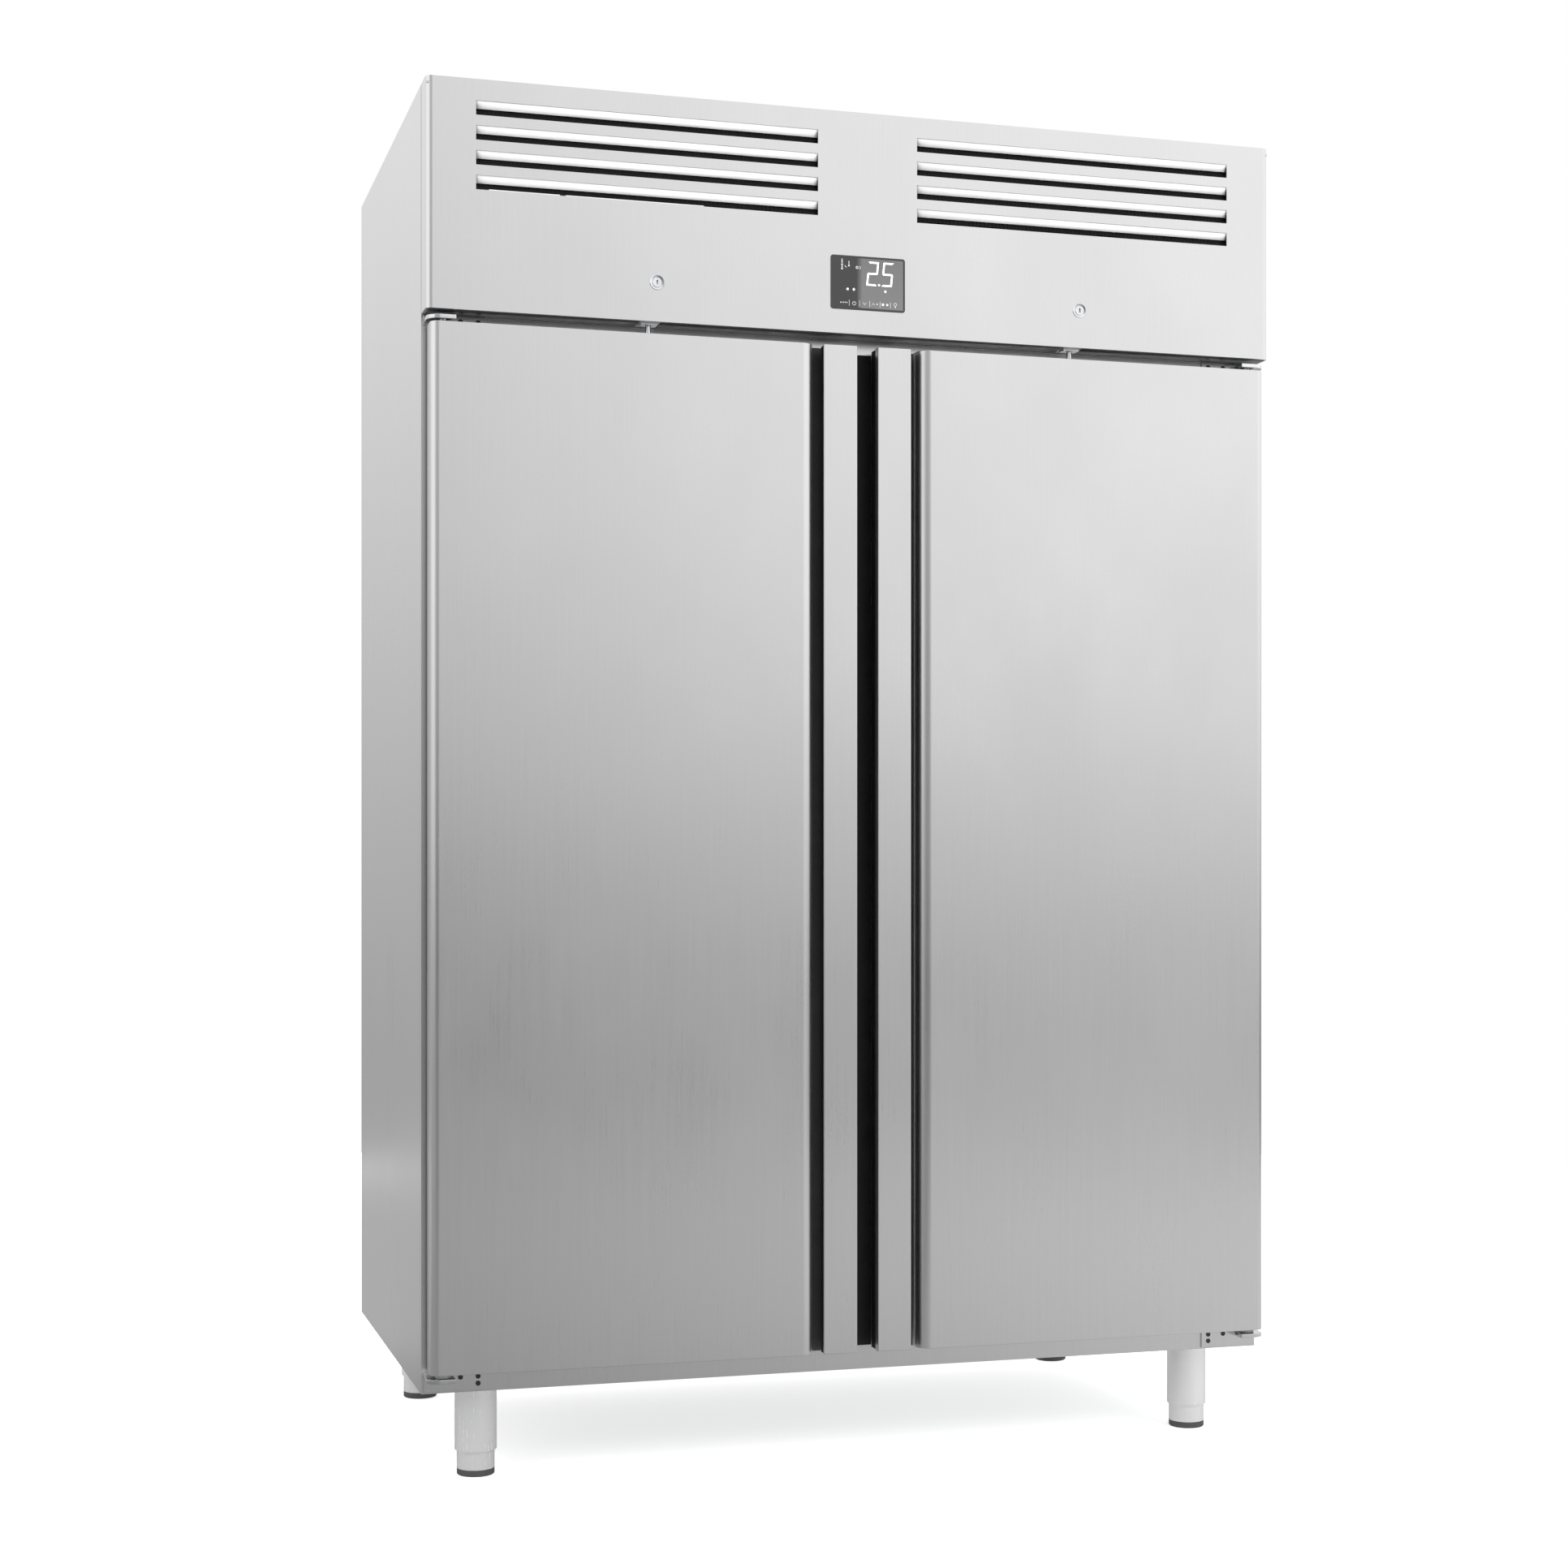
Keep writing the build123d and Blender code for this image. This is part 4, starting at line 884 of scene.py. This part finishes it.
# ---------------------------------------------------------------- controller figures
PANEL_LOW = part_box("controller_bezel")[0]
FIGURE_NEAR = PANEL_LOW.y + 0.05 * MM
FIGURE_FAR = PANEL_LOW.y + 0.14 * MM
DIGIT_WIDE = 16.2
DIGIT_TALL = 35.0
DIGIT_BASE = 36.5
DIGIT_PLACES = {"2": 54.2, "5": 77.3}
KEY_TALL = 8.6
KEY_MIDDLE = 10.0
BAR = 2.5
BAR_GAP = 0.3
SLANT = 0.1
LIT_BARS = {"2": "abged", "5": "afgcd"}


def on_panel(points):
    """Points in millimetres from the controller's lower left corner, as x and z."""
    return [(PANEL_LOW.x + u * MM, PANEL_LOW.z + v * MM) for u, v in points]


def add_figure(bm, points):
    add_prism(bm, on_panel(points), FIGURE_NEAR, FIGURE_FAR)


def bar_outlines():
    """Outline of each bar of a seven-bar figure, by its usual letter."""
    wide, tall, bar, gap = DIGIT_WIDE, DIGIT_TALL, BAR, BAR_GAP
    middle = tall / 2
    top = [(gap, tall), (wide - gap, tall), (wide - bar - gap, tall - bar), (bar + gap, tall - bar)]
    upper = [(0, middle + gap), (0, tall - gap), (bar, tall - bar - gap), (bar, middle + bar / 2 + gap)]
    centre = [
        (gap, middle), (bar / 2 + gap, middle + bar / 2), (wide - bar / 2 - gap, middle + bar / 2),
        (wide - gap, middle), (wide - bar / 2 - gap, middle - bar / 2), (bar / 2 + gap, middle - bar / 2),
    ]

    def flip(points):
        return [(u, tall - v) for u, v in points]

    def mirror(points):
        return [(wide - u, v) for u, v in points]

    return {
        "a": top, "f": upper, "b": mirror(upper), "g": centre,
        "e": flip(upper), "c": mirror(flip(upper)), "d": flip(top),
    }


def add_digit(bm, digit, u, v):
    for letter in LIT_BARS[digit]:
        add_figure(bm, [(u + x + SLANT * z, v + z) for x, z in bar_outlines()[letter]])


def add_disc(bm, u, v, radius, steps=20):
    angles = [2 * pi * index / steps for index in range(steps)]
    add_figure(bm, [(u + radius * cos(a), v + radius * sin(a)) for a in angles])


def add_arc(bm, u, v, radius, width, start=0, end=360):
    """A ring or part of one, as short blocks from start to end in degrees."""
    steps = max(6, int(abs(end - start) / 15))
    angles = [radians(start + (end - start) * index / steps) for index in range(steps + 1)]
    inner = radius - width
    for first, second in zip(angles, angles[1:]):
        corners = ((radius, first), (radius, second), (inner, second), (inner, first))
        add_figure(bm, [(u + reach * cos(a), v + reach * sin(a)) for reach, a in corners])


def add_bar(bm, u, v, wide, tall):
    add_figure(bm, [(u, v), (u + wide, v), (u + wide, v + tall), (u, v + tall)])


def add_chevron(bm, u, v, half, rise, width=0.45):
    """An open arrowhead: rise is positive when it points up."""
    for side in (-1, 1):
        add_figure(bm, [
            (u, v + rise / 2), (u + side * half, v - rise / 2),
            (u + side * half, v - rise / 2 - width * 1.5), (u, v + rise / 2 - width * 1.5),
        ])


def controller_figures():
    """The lit temperature, the small signs beside it and the row of touch keys under it. Places
    are in millimetres from the controller's lower left corner."""
    bm = bmesh.new()
    for digit, u in DIGIT_PLACES.items():
        add_digit(bm, digit, u, DIGIT_BASE)
    add_disc(bm, 73.9, 38.2, 1.5)
    add_piece(mesh_object("controller_figures", bm, FIGURES), "head")

    bm = bmesh.new()
    add_disc(bm, 83.6, 29.2, 2.0)
    add_disc(bm, 25.7, 29.6, 1.9)
    add_figure(bm, [(35.2 + a, 29.6 + b) for a, b in ((-2.4, 0), (0, 2.4), (2.4, 0), (0, -2.4))])
    for step, radius in enumerate((1.4, 0.9, 1.3, 0.9, 1.2, 0.8)):
        add_disc(bm, 17.2, 59.0 + 2.7 * step, radius, 12)
    add_bar(bm, 27.3, 62.5, 0.8, 8.0)
    add_disc(bm, 27.7, 63.8, 1.3, 14)
    add_arc(bm, 24.6, 64.2, 3.4, 0.8, 190, 265)
    add_arc(bm, 40.2, 61.8, 2.0, 0.9)
    add_arc(bm, 43.8, 61.8, 2.0, 0.6, -100, 100)
    for u in (27.9, 43.8, 59.4, 75.2, 91.3):
        add_bar(bm, u, 5.4, 0.5, KEY_TALL)
    for u in (19.0, 21.8, 24.6):
        add_bar(bm, u - 0.7, 9.3, 1.4, 1.4)
    add_figure(bm, [(14.3, 9.0), (16.7, 9.0), (15.5, 11.1)])
    add_arc(bm, 35.8, 9.4, 2.9, 0.5, 115, 425)
    add_bar(bm, 35.55, 9.6, 0.5, 3.2)
    add_chevron(bm, 51.8, KEY_MIDDLE, 2.4, -3.4)
    add_chevron(bm, 65.2, KEY_MIDDLE, 2.4, 3.4)
    add_figure(bm, [(70.2, 8.6), (70.2, 11.6), (72.4, 10.1)])
    add_disc(bm, 79.9, KEY_MIDDLE, 1.9)
    add_disc(bm, 86.6, KEY_MIDDLE, 1.7)
    add_arc(bm, 98.9, 11.2, 2.4, 0.5)
    add_bar(bm, 98.2, 6.4, 1.4, 1.7)
    add_piece(mesh_object("controller_signs", bm, SIGNS), "head")


controller_figures()


# ---------------------------------------------------------------- cooling unit
FIN_PITCH = 3.6 * MM
FIN_HALF = 0.2 * MM
END_PLATE_HALF = 0.8 * MM
TUBE_RADIUS = 4.6 * MM
TUBE_LEVELS = 6
BEND_REACH = 22 * MM
HEADER_REACH = 32 * MM


def rounded_line(points, radius, steps=6):
    """The points of a line whose corners are arcs of one radius."""
    points = [Vector(point) for point in points]
    line = [points[0]]
    for before, corner, after in zip(points, points[1:], points[2:]):
        arriving = (before - corner).normalized()
        leaving = (after - corner).normalized()
        half_turn = arriving.angle(leaving) / 2
        reach = radius * cos(half_turn) / sin(half_turn)
        centre = corner + (arriving + leaving).normalized() * radius / sin(half_turn)
        first = corner + arriving * reach - centre
        last = corner + leaving * reach - centre
        line += [centre + radius * first.slerp(last, index / steps) for index in range(steps + 1)]
    return line + [points[-1]]


def condenser():
    """Thin fins across two rows of copper tube, with return bends at the ends."""
    low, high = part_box("condenser_coil")
    start, end = (corner.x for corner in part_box("fan_shroud"))
    bottom = low.z + 15 * MM
    fins = int((end - start) / FIN_PITCH)
    bm = bmesh.new()
    for index in range(fins + 1):
        x = start + (end - start) * index / fins
        add_block(bm, (x - FIN_HALF, low.y, bottom), (x + FIN_HALF, high.y, high.z))
    for x in (start, end):
        add_block(bm, (x - END_PLATE_HALF, low.y, low.z), (x + END_PLATE_HALF, high.y, high.z))
    fin_block = mesh_object("condenser_fins", bm, MATERIALS["coil_aluminium"])
    add_piece(fin_block, "cabinet", ["condenser_coil"])

    rise = (high.z - bottom) / TUBE_LEVELS
    lines = []
    rows = [low.y + (high.y - low.y) * share for share in (0.25, 0.75)]
    for y in rows:
        heights = [bottom + rise * (level + 0.5) for level in range(TUBE_LEVELS)]
        snake = [(low.x, y, heights[0])]
        for level, z in enumerate(heights):
            turn_x = end + BEND_REACH if level % 2 == 0 else start - BEND_REACH
            snake.append((turn_x, y, z))
            if level + 1 < TUBE_LEVELS:
                snake.append((turn_x, y, heights[level + 1]))
        snake[-1] = (low.x, y, heights[-1])
        lines.append((rounded_line(snake, rise * 0.49), False))
    header_x = low.x - HEADER_REACH
    header = [
        (low.x, rows[1], heights[0]), (header_x, rows[1], heights[0]),
        (header_x, rows[0], heights[-1]), (low.x, rows[0], heights[-1]),
    ]
    lines.append((rounded_line(header, 12 * MM), False))
    wire_piece("condenser_tubes", lines, TUBE_RADIUS, "cabinet", "copper")


condenser()


def fan_guard(name, centre, across, other, radii, wire):
    """Round wires and spokes over a fan."""
    lines = [(circle_points(centre, radius, across, other), True) for radius in radii]
    for index in range(4):
        turn = pi / 4 + pi / 2 * index
        arm = cos(turn) * Vector(across) + sin(turn) * Vector(other)
        lines.append(([Vector(centre) + arm * radii[0], Vector(centre) + arm * radii[-1]], False))
    wire_piece(name, lines, wire, "cabinet", "shelf_wire")


def fan_guards():
    """Guards under the two evaporator fans and behind the condenser fan."""
    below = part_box("evaporator_cover")[0].z - 2.2 * MM
    for name in SIDES:
        low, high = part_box(f"{name}_evaporator_fan")
        centre = Vector(((low.x + high.x) / 2, (low.y + high.y) / 2, below))
        radii = [(16 + 12 * index) * MM for index in range(7)]
        fan_guard(f"{name}_evaporator_guard", centre, (1, 0, 0), (0, 1, 0), radii, 1.2 * MM)
    low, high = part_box("condenser_fan")
    centre = back_centre(low, high) + Vector((0, 5 * MM, 0))
    radii = [(48 + 15 * index) * MM for index in range(5)]
    fan_guard("condenser_fan_guard", centre, (1, 0, 0), (0, 0, 1), radii, 1.3 * MM)


fan_guards()


# ---------------------------------------------------------------- studio
# elevation in degrees and brightness of the room, ahead of the doors and behind the cabinet
SKY_STOPS = [
    (-60, 0.9), (-14, 0.25), (-5, 0.15), (-1, 0.36), (2.5, 1.02), (8, 1.13), (50, 1.05), (90, 0.85)
]
REAR_STOPS = [
    (-60, 0.7), (-14, 0.4), (-4, 0.38), (1, 0.5), (8.6, 0.72), (16, 0.9), (50, 0.84), (90, 0.68)
]
REAR_FULL = 0.7
# azimuth and half widths in degrees, measured from straight ahead of the doors
DIM_AZIMUTH = -19
DIM_INNER = 18
DIM_OUTER = 38
DIM_LEVEL = 0.38
GLOW_AZIMUTH = 40
GLOW_INNER = 8
GLOW_OUTER = 32
GLOW_SHARE = 0.22
GLOW_LEVEL = 1.05
FLOOR_RADIUS = 3.9
FLOOR_GLOW = 0.62
# what the steel mirrors of the floor: two levels, and where in metres one turns into the other
FAR_RING = (0.0, 0.45, 3.1, 3.8)
NEAR_DIP = (-0.12, 0.0, 0.5, 1.1)
LEFT_TO_RIGHT = (0.25, 0.66, -0.9, 1.3)
FRONT_TO_REAR = (0.0, 0.22, 0.0, 0.8)
LIGHT_SIZE = 2.4
# place in metres and power in watts
LIGHTS = {
    "key_light": ((2.2, -3.4, 3.4), 90),
    "fill_light": ((-3.2, -2.0, 2.2), 40),
    "rear_light": ((-1.0, 3.6, 3.0), 50),
}
CAMERA_PLACE = (-1.157, FRONT - 3.503, 0.871)
CAMERA_TURN = radians(-16.378)
SENSOR_WIDE = 36
LENS = 58.04
LENS_RISE = 0.0528


class Room(Tree):
    """The world's node tree, with calls for levels that depend on direction."""

    def __init__(self, tree):
        super().__init__(tree)
        self.direction = self.node("ShaderNodeTexCoord").outputs["Generated"]
        self.parts = self.node("ShaderNodeSeparateXYZ", {"Vector": self.direction}).outputs
        self.height = self.ramp(self.parts["Z"], 0, 1, -1, 1)

    def by_elevation(self, levels):
        """Brightness that follows a list of elevations and levels."""
        made = self.node("ShaderNodeValToRGB", {0: self.height})
        stops = made.color_ramp.elements
        while len(stops) < len(levels):
            stops.new(0.5)
        for stop, (elevation, level) in zip(stops, levels):
            stop.position = (sin(radians(elevation)) + 1) / 2
            stop.color = (level, level, level * 1.01, 1)
        return made.outputs["Color"]

    def by_azimuth(self, azimuth, outer, inner, away, within):
        """One value away from a direction on the horizon and another close to it."""
        aim = (sin(radians(azimuth)), -cos(radians(azimuth)), 0)
        toward = self.node("ShaderNodeVectorMath", {0: self.direction, 1: aim}, operation="DOT_PRODUCT")
        start, end = cos(radians(outer)), cos(radians(inner))
        return self.ramp(toward.outputs["Value"], away, within, start, end, interpolation_type="SMOOTHSTEP")

    def between(self, share, first, second):
        """One brightness turning into another as share goes from 0 to 1."""
        made = self.node("ShaderNodeMix", {"Factor": share}, data_type="VECTOR")
        ends = [socket for socket in made.inputs if socket.type == "VECTOR" and socket.name in "AB"]
        for socket, value in zip(ends, (first, second)):
            if isinstance(value, bpy.types.NodeSocket):
                self.tree.links.new(value, socket)
            else:
                socket.default_value = value
        return next(socket for socket in made.outputs if socket.type == "VECTOR")


def studio_world():
    """A white room: bright above, dark just under the horizon, dim towards the front left and a
    little brighter to the front right, with levels of its own behind. The background is white."""
    world = bpy.data.worlds.new("studio")
    bpy.context.scene.world = world
    world.use_nodes = True
    world.node_tree.nodes.clear()
    room = Room(world.node_tree)
    rear = room.ramp(room.parts["Y"], 0, 1, 0, REAR_FULL, interpolation_type="SMOOTHSTEP")
    around = room.between(rear, room.by_elevation(SKY_STOPS), room.by_elevation(REAR_STOPS))
    dim = room.by_azimuth(DIM_AZIMUTH, DIM_OUTER, DIM_INNER, 1, DIM_LEVEL)
    dimmed = room.node("ShaderNodeVectorMath", {0: around, "Scale": dim}, operation="SCALE")
    share = room.by_azimuth(GLOW_AZIMUTH, GLOW_OUTER, GLOW_INNER, 0, GLOW_SHARE)
    level = room.between(share, dimmed.outputs[0], (GLOW_LEVEL, GLOW_LEVEL, GLOW_LEVEL))
    lit = room.node("ShaderNodeBackground", {"Color": level})
    plain = room.node("ShaderNodeBackground", {"Color": (1, 1, 1, 1)})
    seen = room.node("ShaderNodeLightPath").outputs["Is Camera Ray"]
    either = room.node("ShaderNodeMixShader", {0: seen, 1: lit.outputs[0], 2: plain.outputs[0]})
    room.node("ShaderNodeOutputWorld", {"Surface": either.outputs[0]})


def studio_floor():
    """A pale floor that looks white. What the steel mirrors of it is grey on the left and under
    the cabinet, and paler to the right, behind and far off."""
    bpy.ops.mesh.primitive_circle_add(vertices=96, radius=FLOOR_RADIUS, fill_type="NGON")
    floor = bpy.context.object
    floor.name = "studio_floor"
    floor.location.z = CAD_BOX[0].z
    look = Look("pale_floor", Roughness=0.9, Specular_IOR_Level=0.1)
    fine = look.noise(30, detail=3)
    look.feed(Base_Color=look.mix(fine, grey(0.93), grey(0.96)))
    bright = look.node("ShaderNodeEmission", {"Strength": FLOOR_GLOW})
    place = look.node("ShaderNodeTexCoord").outputs["Object"]
    away = look.node("ShaderNodeVectorMath", {0: place}, operation="LENGTH").outputs["Value"]
    parts = look.node("ShaderNodeSeparateXYZ", {"Vector": place})
    ring = look.maths("ADD", look.ramp(away, *FAR_RING), look.ramp(away, *NEAR_DIP))
    across = look.ramp(parts.outputs["X"], *LEFT_TO_RIGHT)
    along = look.ramp(parts.outputs["Y"], *FRONT_TO_REAR)
    level = look.maths("ADD", ring, look.maths("ADD", across, along))
    mirrored = look.node("ShaderNodeEmission", {"Color": level})
    seen = look.node("ShaderNodeAddShader", {0: look.shader.outputs[0], 1: bright.outputs[0]})
    path = look.node("ShaderNodeLightPath")
    either = look.node(
        "ShaderNodeMixShader",
        {0: path.outputs["Is Glossy Ray"], 1: seen.outputs[0], 2: mirrored.outputs[0]},
    )
    look.tree.links.new(either.outputs[0], look.tree.nodes["Material Output"].inputs["Surface"])
    floor.data.materials.append(look.material)


def studio_light(name, place, power):
    """A square soft light, aimed at the cabinet's middle."""
    data = bpy.data.lights.new(name, "AREA")
    data.shape = "SQUARE"
    data.size = LIGHT_SIZE
    data.energy = power
    lamp = bpy.data.objects.new(name, data)
    bpy.context.scene.collection.objects.link(lamp)
    lamp.location = place
    aim = (CAD_BOX[0] + CAD_BOX[1]) / 2 - Vector(place)
    lamp.rotation_euler = aim.to_track_quat("-Z", "Y").to_euler()
    lamp.visible_glossy = False
    lamp.visible_camera = False


def studio_camera():
    """A level camera, to the left of the doors, with a slight rise of the lens."""
    data = bpy.data.cameras.new("camera")
    data.sensor_width = SENSOR_WIDE
    data.lens = LENS
    data.shift_y = LENS_RISE
    data.clip_end = 100
    camera = bpy.data.objects.new("camera", data)
    camera.location = CAMERA_PLACE
    camera.rotation_euler = (radians(90), 0, CAMERA_TURN)
    bpy.context.scene.collection.objects.link(camera)
    bpy.context.scene.camera = camera


bpy.context.scene.view_settings.view_transform = "Standard"
studio_world()
studio_floor()
for light, (place, power) in LIGHTS.items():
    studio_light(light, place, power)
studio_camera()

bpy.context.view_layer.update()
